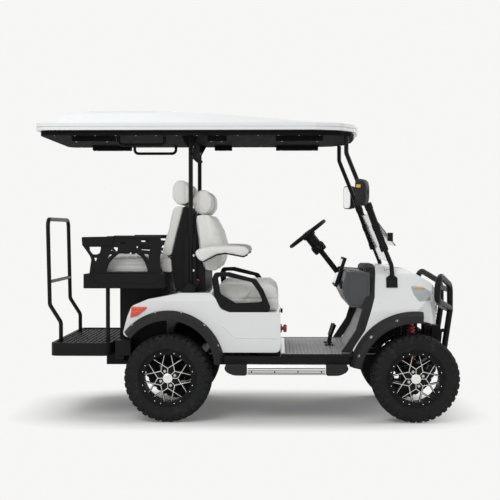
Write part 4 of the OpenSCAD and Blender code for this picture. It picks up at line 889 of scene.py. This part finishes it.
# Board cap as shares of its box, and the mirror shell's rings: depth, share of its size
BOARD_CAP = ((0, 0), (0.6, 0.02), (0.88, 0.28), (1, 0.6), (0.93, 1), (0, 1))
MIRROR_RINGS = ((3, 0.9), (-1, 0.95), (0, 1.0), (22, 1.02), (44, 0.97), (60, 0.82), (68, 0.55), (70, 0.2))


def make_side_panel(side):
    """Armrest panel: an arch, windows between its struts, a cap along the top and a deep box behind it."""

    def sized(shares):
        return [(SIDE_X + u * SIDE_L, SIDE_Z + v * SIDE_H) for u, v in shares]

    panel = {"stands_for": "rear_sides", "holes": [softened(sized(SIDE_ARCH), 14)]}
    panel["holes"] += [softened(sized(window), 5) for window in SIDE_WINDOWS]
    side_plate("side_panel", side, sized(SIDE_OUTLINE), 8, (530, 571), 3, **panel)
    side_plate("side_cap", side, sized(SIDE_CAP), 4, (522, 579), 2, "charcoal_plastic")
    side_plate("side_box", side, sized(SIDE_BOX), 7, (522, 579), 3)


def make_footboard():
    """Rear step with a rounded plan, a raised rim and a lower skirt."""
    low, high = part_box("rear_footboard")
    left, right, half = low.x / MM, high.x / MM, high.y / MM
    top, floor = high.z / MM, low.z / MM
    plan = [(left, -half), (left, half), (right, half), (right, -half)]
    back, front, wide = left + 26, right - 20, half - 26
    inner = [(back, -wide), (back, wide), (front, wide), (front, -wide)]
    step = {"stands_for": "rear_footboard", "upright": False}
    plate("step_rim", plan, 62, (top - 16, top), 4, holes=[softened(inner, 44)], **step)
    plate("step_deck", plan, 62, (floor, top - 9), 3, **step)


def make_mirror(side):
    """Mirror on its arm: a rounded shell turned towards the driver, its glass and an amber repeater."""
    tag, turn = SIDES[side], math.radians(20) * side
    forward = Vector((math.cos(turn), math.sin(turn), 0))
    along = Vector((-math.sin(turn), math.cos(turn), 0)) * side
    upward = Vector(UPWARD)
    centre = Vector((0.735, side * 0.588, 1.53))
    half_w, half_h, steps = 70 * MM, 88 * MM, 40

    def ring(depth, gain):
        points = []
        for k in range(steps):
            angle = 2 * math.pi * k / steps
            u, v = (math.copysign(abs(c) ** 0.45, c) for c in (math.cos(angle), math.sin(angle)))
            spot = centre + forward * depth * MM
            points.append(spot + along * half_w * gain * u + upward * half_h * gain * v)
        return points

    shell = from_rings("mirror_shell_" + tag, [ring(*r) for r in MIRROR_RINGS], False)
    add("mirror_shell_" + tag, shell, "charcoal_plastic", "root", "mirrors", 50)
    glass = bmesh.new()
    glass.faces.new([glass.verts.new(p) for p in ring(1, 0.94)])
    slab(glass, ring(0.6, 0.93), -forward * 1.2 * MM)
    add("mirror_glass_" + tag, glass, "mirror")
    arm = bmesh.new()
    sweep(arm, [(0.795, side * 0.452, 1.50), (0.79, side * 0.49, 1.502), (0.775, side * 0.53, 1.51)], 10, 12)
    lathe(arm, [(22, -8), (22, 8), (15, 15)], (0.795, side * 0.45, 1.50), (0, side, 0), 20)
    add("mirror_arm_" + tag, arm, "black_plastic", "root", "mirrors")
    amber = bmesh.new()
    spot = centre + along * half_w * 0.99 + upward * 40 * MM + forward * 22 * MM
    lens = ((-15, -9), (15, -11), (17, 8), (-12, 11))
    slab(amber, [spot + forward * a * MM + upward * b * MM for a, b in lens], along * 4 * MM, -along * 3 * MM)
    add("mirror_amber_" + tag, amber, "lamp_amber", edge=2)


def make_display():
    """Tablet display that leans back over the dash: a slim case with a dark pane on its face."""
    plate("display_case", DISPLAY, 5, (-165, 165), 3, "black_plastic", "display", "display_screen")
    foot, head = (Vector((x, 0, z)) * MM for x, z in DISPLAY[:2])
    out = (head - foot).cross(Vector((0, 1, 0))).normalized()
    out = out if out.x < 0 else -out
    pane = bmesh.new()
    corners = ((0.1, -0.13), (0.92, -0.13), (0.92, 0.152), (0.1, 0.152))
    slab(pane, [lerp(foot, head, t) + Vector((0, y, 0)) for t, y in corners], out * 1.5 * MM, -out * MM)
    for t in (0.25, 0.42, 0.59, 0.76):
        dome(pane, lerp(foot, head, t) + Vector((0, -0.148, 0)), out, 7, 2.5, 16, 3, 1)
    add("display_pane", pane, "display", stands_for="display_screen")


def make_side_shells(side):
    """Dash cheek, tray skirt, kick panel, tail lamp with two raised bands, and the board's end caps."""
    side_plate("dash_cheek", side, DASH_CHEEK, 12, (497, 504), 2, "slate_plastic", "grey_plastic")
    side_plate("tray_skirt", side, TRAY_SKIRT, 6, (572, 585), 3)
    side_plate("kick_panel", side, KICK_PANEL, 8, (498, 510), 2, "putty_panel", "grey_plastic")
    side_plate("tail_lens", side, TAIL_LENS, 5, (556, 568), 3, "lamp_red", "lamp_red", "tail_lamps")
    side_plate("tail_band", side, TAIL_BAND, 4, (566, 571), 1.5, "lamp_red", "lamp_red")
    side_plate("tail_fog", side, TAIL_FOG, 4, (566, 571), 1.5, "lamp_red", "lamp_red")
    low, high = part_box("board_caps")
    board_low, board_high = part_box("running_boards")
    across, cap = (530, high.y / MM), {"finish": "charcoal_plastic", "stands_for": "board_caps"}
    for end, start, tip in (("front", board_high.x, high.x), ("rear", board_low.x, low.x)):
        outline = [(lerp(start, tip, u) / MM, lerp(low.z, high.z, v) / MM) for u, v in BOARD_CAP]
        side_plate("board_cap_" + end, side, outline, 20, across, 8, **cap)


def make_pedals():
    """Two floor pedals that lean forward: foot plate, arm and a ribbed pad."""
    bm = bmesh.new()
    lean = math.radians(17)
    up = Vector((math.sin(lean), 0, math.cos(lean)))
    out = Vector((-up.z, 0, up.x))
    across = Vector((0, 36 * MM, 0))
    for y, tall in ((0.0, 0.155), (0.18, 0.14)):
        foot = Vector((0.572, y, 0.4525))
        base = ((-0.03, -0.03), (0.03, -0.03), (0.03, 0.03), (-0.03, 0.03))
        slab(bm, [foot + Vector((a, b, 0)) for a, b in base], (0, 0, 8 * MM))
        sweep(bm, [foot, foot + up * tall * 0.5 + out * 6 * MM, foot + up * tall], 9, 10)
        pad = foot + up * (tall - 35 * MM) + out * 8 * MM
        low, high = pad - up * 48 * MM, pad + up * 42 * MM
        slab(bm, [low - across, low + across, high + across, high - across], out * 9 * MM)
        for k in range(7):
            row = pad + up * (k * 12 - 39) * MM + out * 9 * MM
            sweep(bm, [row - across * 0.85, row + across * 0.85], 2.6, 8)
    add("pedal_set", bm, "black_plastic", stands_for="pedals", edge=1.2)


both_sides(make_side_panel)
make_pedals()
make_footboard()
plate("dash_body", DASH, 9, (-500, 500), 7, "slate_plastic", "grey_plastic", "dashboard")
make_display()
plate("rear_back_shell", BACK_SHELL, 10, (-410, 410), 5)
plate("tray_lip", TRAY_LIP, 6, (-572, 572), 3)
both_sides(make_side_shells)
both_sides(make_mirror)


# Trim and fasteners, gathered into one piece for each body and finish
groups = {}
trees = {}


def group(name, finish, body="root"):
    """The bmesh that gathers the trim of that name."""
    if name not in groups:
        groups[name] = (bmesh.new(), finish, body)
    return groups[name][0]


def hit(node, start, way):
    """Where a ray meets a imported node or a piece: (point, outward normal), or None."""
    if node not in trees:
        piece = nodes[node] if node in nodes else bpy.data.objects[node]
        points = [piece.matrix_world @ v.co for v in piece.data.vertices]
        trees[node] = BVHTree.FromPolygons(points, [p.vertices for p in piece.data.polygons])
    way = Vector(way).normalized()
    point, normal, _, _ = trees[node].ray_cast(Vector(start), way)
    if point is None:
        return None
    return point, (-normal if normal.dot(way) > 0 else normal)


def screw_on(bm, node, start, way, radius):
    """Adds a domed screw head where a ray meets a node."""
    found = hit(node, start, way)
    if found:
        dome(bm, *found, radius, radius * 0.5, 14, 3, 1)


def ring_on(bm, node, start, way, ring, steps):
    """Adds a turned ring where a ray meets a node: (point, outward normal), or None."""
    found = hit(node, start, way)
    if found:
        lathe(bm, ring, *found, steps)
    return found


def draped(bm, node, starts, way, radius, sink=0.3, flat=1.0):
    """Adds a bead that follows a node's surface under a row of rays."""
    lift = radius * MM * (1 - 2 * sink)
    path = [found[0] + found[1] * lift for found in (hit(node, start, way) for start in starts) if found]
    if len(path) > 1:
        sweep(bm, path, radius, 8, flat)


# Softened edges on moulded and folded pieces, by their width
EDGES = {
    2.5: "hip_restraints seat_shell roof_handles",
    4.0: "rear_tray bumpers roof_liner wheel_flares cowl_trim",
    1.2: "headlamps running_boards mid_pillars battery_pack",
    6.0: "rear_body front_cowl roof_canopy",
}
for width, members in EDGES.items():
    for member in members.split():
        bevelled(nodes[member], width, 3)
        nodes[member].data.set_sharp_from_angle(angle=math.radians(40))

DOWN, BACK, AHEAD = (0, 0, -1), (-1, 0, 0), (1, 0, 0)
# Where rays start: before the nose, over the cowl and the roof, behind the dash, under the roof
NOSE_X, COWL_Z, SKY_Z, CABIN_X, CABIN_Z = 2.0, 2.0, 3.0, 0.2, 1.7
# Face of the seat base
BASE_X = 0.2225
# Flare bolts: the wheel, their angles round it, their distance and how far above it their circle lies
FLARE_BOLTS = (("fr", (47, 76, 108, 137, 158), 0.408, 0.0), ("rr", (22, 48, 76, 104, 132), 0.362, 0.083))
FLARE_RING = [(13, -2), (13, 1.6), (10, 2.2), (9, 0.6)]
# Foot plate of a front pillar and its bolts, in millimetres
FOOT_PLATE = ((-38, -42), (38, -42), (38, 26), (18, 44), (-18, 44), (-38, 26))
FOOT_BOLTS = ((-24, -28), (24, -28), (-24, 18), (24, 18))
# Lines along the sides, X and Z
BODY_LINE = ((-0.167, 0.638), (-0.15, 0.622), (-0.106, 0.574), (-0.09, 0.561), (-0.07, 0.557), (0.212, 0.554))
TRAY_LINE = ((-1.045, 0.971), (-1.036, 0.95), (-1.022, 0.93), (-1.0, 0.924))
TRAY_LINE += ((-0.62, 0.924), (-0.6, 0.93), (-0.588, 0.95), (-0.582, 0.972))
BELT_REEL = ((-0.445, 0.868), (-0.40, 0.925), (-0.352, 0.9), (-0.366, 0.842), (-0.41, 0.83))
BUCKLE = ((-0.372, 0.902), (-0.344, 0.894), (-0.322, 0.936), (-0.35, 0.944))
# Line round a dash pocket, Y and Z
POCKET_LINE = ((0.06, 0.83), (0.06, 0.79), (0.28, 0.79), (0.28, 0.83))
POCKET_LINE += ((0.28, 0.85), (0.06, 0.85), (0.06, 0.83))
ISOLATOR = [(13, 6), (13, 18), (24, 20), (25, 38), (21, 43)]


def dress_flares(side):
    for corner, angles, radius, rise in FLARE_BOLTS:
        low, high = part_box("rim_" + corner)
        centre = (low + high) / 2
        for turn in map(math.radians, angles):
            spot = (centre.x + radius * math.cos(turn), side, centre.z + rise + radius * math.sin(turn))
            pockets = group("flare_pockets", "gloss_black")
            found = ring_on(pockets, "wheel_flares", spot, (0, -side, 0), FLARE_RING, 20)
            if found:
                dome(group("flare_bolts", "bolt_steel"), *found, 5, 4, 12, 3, 1)


def dress_lamps(side):
    low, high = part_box("headlamps")
    for u, v, size in ((0.80, 0.50, 26), (0.60, 0.52, 22)):
        found = hit("headlamps", (NOSE_X, side * high.y * u, lerp(low.z, high.z, v)), BACK)
        if found:
            forward = (found[1] + Vector(AHEAD)).normalized()
            ring = [(size, -8), (size, 2.5), (size * 0.86, 3.2), (size * 0.84, -2)]
            lathe(group("lamp_bezels", "bolt_steel"), ring, found[0], forward, 28)
            bowls = group("lamp_bowls", "machined")
            dome(bowls, found[0] - forward * 4 * MM, forward, size * 0.8, 9, 28, 6, 4)
    rows = [(lerp(low.x, high.x, t), side * 0.8, high.z - 13 * MM) for t in span(0.06, 0.8, 12)]
    draped(group("lamp_amber_strips", "lamp_amber"), "headlamps", rows, (0, -side, 0), 5)


def dress_screen(side):
    """Sleeves, clamps and foot plates that hold the panes on the sloped pillars."""
    black, bolts = group("screen_clamps", "black_plastic"), group("screen_bolts", "black_plastic")
    y = side * 0.44
    foot, knee = Vector((0.967, y, 1.038)), Vector((0.667, y, 1.846))

    def on(z):
        return foot + (knee - foot) * ((z - foot.z) / (knee.z - foot.z))

    sweep(black, [on(z) for z in span(1.141, 1.46, 8)], 24, 14)
    for z in (1.16, 1.30, 1.44):
        sweep(black, [on(z + d) for d in (-0.022, -0.018, 0.018, 0.022)], [24, 27, 27, 24], 14)
        spot = on(z)
        hex_bolt(bolts, spot + Vector((0, side * 26 * MM, 0)), (0, side, 0), 9, 5)
        brick(black, (spot.x - 6 * MM, y - side * 60 * MM, z - 16 * MM), (spot.x + 9 * MM, y, z + 16 * MM))
    brick(black, (0.952, y - side * 70 * MM, 1.205), (0.985, y - side * 12 * MM, 1.262))
    found = hit("front_cowl", (0.975, side * 1.0, 0.93), (0, -side, 0))
    if found:
        point, out = found
        upward = (Vector(UPWARD) - out * out.z).normalized()
        forward = upward.cross(out) * side
        outline = [point + forward * a * MM + upward * b * MM for a, b in FOOT_PLATE]
        slab(black, outline, out * 7 * MM, -out * 12 * MM)
        for a, b in FOOT_BOLTS:
            hex_bolt(bolts, point + forward * a * MM + upward * b * MM + out * 7 * MM, out, 10, 6)


def dress_sides(side):
    """Embossed lines, plate bolts, panel screws, buckles and board bands on one side."""
    inward = (0, -side, 0)
    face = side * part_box("rear_body")[1].y
    sweep(group("body_lines", "white_body"), [(x, face, z) for x, z in BODY_LINE], 3.2, 8)
    for z in (1.005, 1.107):
        found = hit("mid_pillars", (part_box("mid_pillars")[1].x - 17 * MM, side, z), inward)
        if found:
            hex_bolt(group("plate_bolts", "bolt_steel"), found[0] - found[1] * 0.5 * MM, found[1], 12, 6)
    screws = group("panel_screws", "black_plastic")
    low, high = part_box("hip_restraints")
    for u, v in ((0.2, 0.05), (0.55, 0.05), (0.9, 0.05), (0.06, 0.9)):
        screw_on(screws, "hip_restraints", (lerp(low.x, high.x, u), side, lerp(low.z, high.z, v)), inward, 6)
    low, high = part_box("running_boards")
    for z in (0.334, 0.349, 0.364):
        rows = [(x, side, z) for x in span(low.x + 6 * MM, high.x - 6 * MM, 6)]
        draped(group("board_bands", "black_plastic"), "running_boards", rows, inward, 2.4)
    for x in span(low.x + 30 * MM, high.x - 30 * MM, 4):
        screw_on(screws, "running_boards", (x, side, 0.342), inward, 4.5)
    low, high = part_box("sills")
    for x in span(low.x + 60 * MM, high.x - 60 * MM, 7):
        screw_on(group("sill_screws", "black_plastic"), "sills", (x, side, 0.413), inward, 5)
    rows = [(x, side, z) for x, z in TRAY_LINE]
    draped(group("tray_lines", "black_plastic"), "tray_skirt_" + SIDES[side], rows, inward, 3.5, 0.45)
    reel = [(x, side * 0.5, z) for x, z in BELT_REEL]
    slab(group("belt_reels", "frame_steel"), reel, (0, side * 26 * MM, 0), (0, -side * 18 * MM, 0))
    # Belt stalk and buckle beside the seat's rear corner
    y = side * 0.475
    stalk = group("belt_stalks", "black_plastic")
    sweep(stalk, [(-0.372, y, 0.862), (-0.366, y, 0.885), (-0.352, y, 0.905)], 9, 10, 0.4)
    buckle = [Vector((x, y, z)) for x, z in BUCKLE]
    slab(stalk, buckle, (0, 11 * MM, 0), (0, -11 * MM, 0))
    button = [lerp(buckle[3], buckle[2], t) for t in (0.2, 0.8)]
    button += [buckle[2] + Vector((-0.004, 0, 0.005)), buckle[3] + Vector((0.004, 0, 0.005))]
    slab(group("belt_buttons", "spring_red"), button, (0, 7 * MM, 0), (0, -7 * MM, 0))


def dress_floor():
    """Ribs of the mat over the floor and up the toe board, the kick strip, and the footboard's tread."""
    for k in range(24):
        rows = [(0.262 + k * 0.025, y, 1.2) for y in span(-0.52, 0.52, 5)]
        draped(group("mat_ribs", "mat"), "floor_pan", rows, DOWN, 6, 0.5, 0.6)
    for side in SIDES:
        low_y, high_y = sorted((side * 0.584, side * 0.6015))
        brick(group("floor_edges", "black_plastic"), (0.224, low_y, 0.436), (0.70, high_y, 0.4535))
    strip = group("kick_strip", "aluminium")
    brick(strip, (0.2235, -0.53, 0.4515), (0.252, 0.53, 0.4555))
    brick(strip, (BASE_X, -0.53, 0.4515), (0.2265, 0.53, 0.488))
    for y in span(-0.5, 0.5, 14):
        dome(strip, (0.2265, y, 0.472), AHEAD, 5, 2.6, 12, 3, 0.5)
    low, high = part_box("rear_footboard")
    for i, x in enumerate(span(low.x + 52 * MM, high.x - 40 * MM, 11)):
        for j, y in enumerate(span(low.y + 60 * MM, high.y - 60 * MM, 30)):
            turn = math.radians(45 if (i + j) % 2 else -45)
            along = Vector((math.cos(turn), math.sin(turn), 0)) * 13 * MM
            across = Vector((-along.y, along.x, 0)) * 0.24
            tip = Vector((x, y, high.z - 9.5 * MM))
            stud = [tip - along, tip - across, tip + along, tip + across]
            slab(group("footboard_studs", "black_plastic"), stud, (0, 0, 3 * MM))


def dress_front():
    """Hood seam, grille bars, seat-base knob and latch, dash vents, key switch and cup rings."""
    seams = group("cowl_seams", "gloss_black")
    draped(seams, "front_cowl", [(0.93, y, COWL_Z) for y in span(-0.4, 0.4, 25)], DOWN, 1.8, 0.5)
    for side in SIDES:
        rows = [(lerp(0.93, 1.2, t), side * lerp(0.4, 0.28, t), COWL_Z) for t in span(0, 1, 16)]
        draped(seams, "front_cowl", rows, DOWN, 1.8, 0.5)
    grille = group("grille_bars", "gloss_black")
    for z in span(0.66, 0.76, 6):
        draped(grille, "front_cowl", [(NOSE_X, y, z) for y in span(-0.27, 0.27, 23)], BACK, 5)
    for y in span(-0.24, 0.24, 7):
        draped(grille, "front_cowl", [(NOSE_X, y, z) for z in span(0.655, 0.765, 7)], BACK, 3.5)
    out, base = Vector(AHEAD), Vector((BASE_X, -0.3, 0.6))
    lathe(group("knob_base", "black_plastic"), [(30, 0), (30, 6), (24, 9)], base, out, 28)
    knob = group("isolator_knob", "spring_red")
    lathe(knob, ISOLATOR, base, out, 28)
    for k in range(10):
        turn = 2 * math.pi * k / 10
        spot = base + Vector((0, math.cos(turn), math.sin(turn))) * 24.5 * MM
        sweep(knob, [spot + out * 22 * MM, spot + out * 38 * MM], 3.2, 8)
    latch = group("seat_latch", "black_plastic")
    brick(latch, (BASE_X, -0.028, 0.693), (0.2275, 0.028, 0.722))
    brick(latch, (0.2275, -0.018, 0.686), (0.2385, 0.018, 0.716))
    rings = group("dash_rings", "black_plastic")
    for side in SIDES:
        for y in span(0.2, 0.36, 9):
            rows = [(x, side * y, COWL_Z) for x in span(0.70, 0.79, 7)]
            draped(group("dash_vents", "gloss_black"), "dash_body", rows, DOWN, 3, 0.35)
        for y, size in ((0.33, 30), (0.42, 26)):
            ring = [(size, -3), (size, 5), (size * 0.86, 6), (size * 0.8, -1)]
            ring_on(rings, "dash_body", (CABIN_X, side * y, 0.905), AHEAD, ring, 28)
        rows = [(CABIN_X, side * y, z) for y, z in POCKET_LINE]
        draped(group("dash_lines", "black_plastic"), "dash_body", rows, AHEAD, 1.6, 0.5)
    lock = [(17, -3), (17, 6), (13, 8), (12, 5)]
    found = ring_on(rings, "dash_body", (CABIN_X, 0.08, 0.90), AHEAD, lock, 24)
    if found:
        key = group("key", "bolt_steel")
        lathe(key, [(9, 0), (9, 9), (7, 10)], *found, 20)
        brick(key, found[0] + Vector((-0.034, -0.0015, -0.009)), found[0] + Vector((-0.008, 0.0015, 0.009)))


def dress_roof():
    """Ribs along the canopy, a cross plate with gussets between the mid pillars, and screws in the liner."""
    for y in (-0.34, -0.17, 0.17, 0.34):
        rows = [(x, y, SKY_Z) for x in span(-1.16, 0.56, 90)]
        draped(group("roof_ribs", "roof_white"), "roof_canopy", rows, DOWN, 10, 0.55)
    brace = group("roof_brace", "liner_black")
    low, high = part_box("mid_pillars")
    post = hit("mid_pillars", (low.x - 1, low.y + 12 * MM, 1.8), AHEAD)[0].x
    under = hit("roof_liner", (post, 0, CABIN_Z), UPWARD)[0].z
    foot, top = 1.775, under + 4 * MM
    front, back = post + 22 * MM, post + 14 * MM
    corners = [(low.y, foot + 14 * MM), (low.y + 60 * MM, foot), (high.y - 60 * MM, foot)]
    corners += [(high.y, foot + 14 * MM), (high.y, top), (low.y, top)]
    slab(brace, [(back, y, z) for y, z in corners], (front - back, 0, 0))
    flange = ((low.y, 14 * MM), (high.y, 14 * MM), (high.y, 0.03), (low.y, 0.03))
    slab(brace, [(front, y, foot + d) for y, d in flange], (14 * MM, 0, 0))
    gusset = [(post - 50 * MM, top), (post - 6 * MM, under - 70 * MM), (post + 30 * MM, under - 70 * MM)]
    gusset += [(post + 70 * MM, top)]
    screws = group("roof_screws", "bolt_steel")
    for side in SIDES:
        slab(brace, [(x, side * (high.y - 6 * MM), z) for x, z in gusset], (0, -side * 5 * MM, 0))
        for y, drop in ((0.44, 40), (0.44, 80), (0.36, 60)):
            hex_bolt(group("brace_bolts", "bolt_steel"), (front, side * y, under - drop * MM), AHEAD, 11, 6)
        for x in span(-1.3, 0.62, 15):
            screw_on(screws, "roof_liner", (x, side * 0.53, CABIN_Z), UPWARD, 5)
        for x in (-1.17, -0.96, -0.25, -0.18, 0.23, 0.47):
            screw_on(screws, "roof_liner", (x, side * 0.43, CABIN_Z), UPWARD, 6)


def dress_wheel():
    """Hub cap and grip stitching on the steering wheel; shroud and stalks on its column."""
    low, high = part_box("steering_wheel")
    tilt = math.radians(38)
    axis = Vector((-math.sin(tilt), 0, math.cos(tilt)))
    across = Vector((0, 1, 0))
    upward = axis.cross(across)
    centre = (low + high) / 2
    face = hit("steering_wheel", centre + axis * 0.3, -axis)[0]
    cap = group("wheel_cap", "gloss_black", "steering_wheel")
    lathe(cap, [(44, -2), (44, 3), (40, 6), (22, 7.5), (20, 5)], face, axis, 36)
    inner, count = (high.y - low.y) / 2 - 30 * MM, 72
    for k in range(count):
        turn = 2 * math.pi * k / count
        arm = across * math.cos(turn) + upward * math.sin(turn)
        spot = centre + arm * inner
        stitch = [spot - axis * 6 * MM, spot - arm * 1.2 * MM, spot + axis * 6 * MM]
        sweep(group("wheel_stitches", "slate_plastic", "steering_wheel"), stitch, 1.4, 6)
    stalks = group("column_stalks", "black_plastic")
    root = centre - axis * 0.135
    for side in SIDES:
        tip = root + across * side * 0.15 + axis * 0.012
        path = [root + across * side * 0.03, lerp(root, tip, 0.6), lerp(root, tip, 0.9), tip]
        sweep(stalks, path, [6, 6, 9, 7], 12)
    lathe(stalks, [(46, -30), (50, -20), (52, 20), (46, 35)], root, axis, 28)


for dress in (dress_flares, dress_lamps, dress_screen, dress_sides):
    both_sides(dress)
for dress in (dress_floor, dress_front, dress_roof, dress_wheel):
    dress()
# The record's slot that each finish of the trim belongs to, where the names differ
TRIM_SLOT = {"bolt_steel": "alloy", "machined": "alloy", "gloss_black": "black_plastic", "mat": "floor_mat"}
TRIM_SLOT |= {"liner_black": "black_plastic", "slate_plastic": "grey_plastic"}
TRIM_SLOT |= {"roof_white": "white_body", "lamp_amber": "lamp_clear"}
for name, (gathered, finish, body) in groups.items():
    add(name, gathered, finish, body, edge=0.6, segments=1)


# Stage, light and camera
PAPER = (0.925, 0.925, 0.915)
AMBIENT = 0.54
FLOOR_HALF = 30.0
# Scale of the floor's oval along X and Y, and where the shadow's sheet fades into the backdrop
OVAL, FADE_FROM, FADE_TO = (0.68, 1.18, 0), 0.65, 1.3
# Lamps: place, size, watts
LAMPS = {
    "key_light": ((-2.5, -5.5, 5.5), 4.0, 165),
    "top_light": ((0.5, 0.5, 6.5), 5.0, 72),
    "fill_light": ((5.0, 3.0, 3.5), 3.5, 70),
}
MIDDLE = Vector((0, 0, 0.9))
# The photograph's viewpoint: level with the seat backs, 7.4 m from the near side, aimed a bit back and down
FOCAL = 80.7
EYE = Vector((0.198, -8.055, 1.280))
TURN, DROP = math.radians(1.38), math.radians(1.02)


def seen_directly(tree):
    """1 for rays that show the stage itself: to the camera, in a reflection, or through glass."""
    path = put(tree, "LightPath").outputs
    share = maths(tree, "MAXIMUM", path["Is Camera Ray"], path["Is Glossy Ray"])
    return maths(tree, "MAXIMUM", share, path["Is Transmission Ray"])


def blend(tree, share, a, b):
    """A shader between two others."""
    return put(tree, "MixShader", {0: share, 1: a.outputs[0], 2: b.outputs[0]})


def make_world():
    world = bpy.data.worlds.new("studio")
    bpy.context.scene.world = world
    world.use_nodes = True
    tree = world.node_tree
    ambient = tree.nodes["Background"]
    wire(tree, ambient, {"Color": (1, 1, 1, 1), "Strength": AMBIENT})
    paper = put(tree, "Background", {"Color": rgba(PAPER), "Strength": 1.0})
    both = blend(tree, seen_directly(tree), ambient, paper)
    wire(tree, tree.nodes["World Output"], {"Surface": both.outputs[0]})


def make_floor():
    """A pale sheet that takes the shadow near the vehicle and fades into the backdrop further out."""
    mesh = bpy.data.meshes.new("studio_floor")
    corners = [(a * FLOOR_HALF, b * FLOOR_HALF, 0) for a, b in ((-1, -1), (1, -1), (1, 1), (-1, 1))]
    mesh.from_pydata(corners, [], [(0, 1, 2, 3)])
    floor = bpy.data.objects.new("studio_floor", mesh)
    bpy.context.scene.collection.objects.link(floor)
    made, tree, surface = shader("studio_paper")
    spot = put(tree, "TexCoord").outputs["Object"]
    oval = put(tree, "VectorMath", {0: spot, 1: OVAL}, operation="MULTIPLY").outputs["Vector"]
    squared = put(tree, "VectorMath", {0: oval, 1: oval}, operation="MULTIPLY").outputs["Vector"]
    reach = put(tree, "VectorMath", {0: squared}, operation="LENGTH").outputs["Value"]
    sheet = {"Roughness": 0.9, "Specular IOR Level": 0.0, "Base Color": rgba((0.95, 0.95, 0.94))}
    wire(tree, surface, sheet)
    paper = put(tree, "Emission", {"Color": rgba(PAPER), "Strength": 1.0})
    away = maths(tree, "MULTIPLY", ramp(tree, reach, FADE_FROM, FADE_TO, 0.1, 1), seen_directly(tree))
    # From below the sheet is clear, so the underside can be looked at
    below = put(tree, "NewGeometry").outputs["Backfacing"]
    shown = blend(tree, below, blend(tree, away, surface, paper), put(tree, "BsdfTransparent"))
    wire(tree, tree.nodes["Material Output"], {"Surface": shown.outputs[0]})
    mesh.materials.append(made)


def aimed(name, data, at, way):
    """Links a lamp or camera that looks one way."""
    made = bpy.data.objects.new(name, data)
    made.location = at
    made.rotation_euler = Vector(way).to_track_quat("-Z", "Y").to_euler()
    bpy.context.scene.collection.objects.link(made)
    return made


def make_light(name, at, size, watts):
    lamp = bpy.data.lights.new(name, "AREA")
    lamp.shape = "DISK"
    lamp.size = size
    lamp.energy = watts
    aimed(name, lamp, at, MIDDLE - Vector(at))


def make_camera():
    data = bpy.data.cameras.new("photo_camera")
    data.sensor_width = 36.0
    data.lens = FOCAL
    data.clip_end = 200
    way = (-math.sin(TURN) * math.cos(DROP), math.cos(TURN) * math.cos(DROP), -math.sin(DROP))
    bpy.context.scene.camera = aimed("photo_camera", data, EYE, way)


make_world()
make_floor()
for name, (at, size, watts) in LAMPS.items():
    make_light(name, at, size, watts)
make_camera()
bpy.context.scene.view_settings.view_transform = "Standard"

bpy.context.view_layer.update()
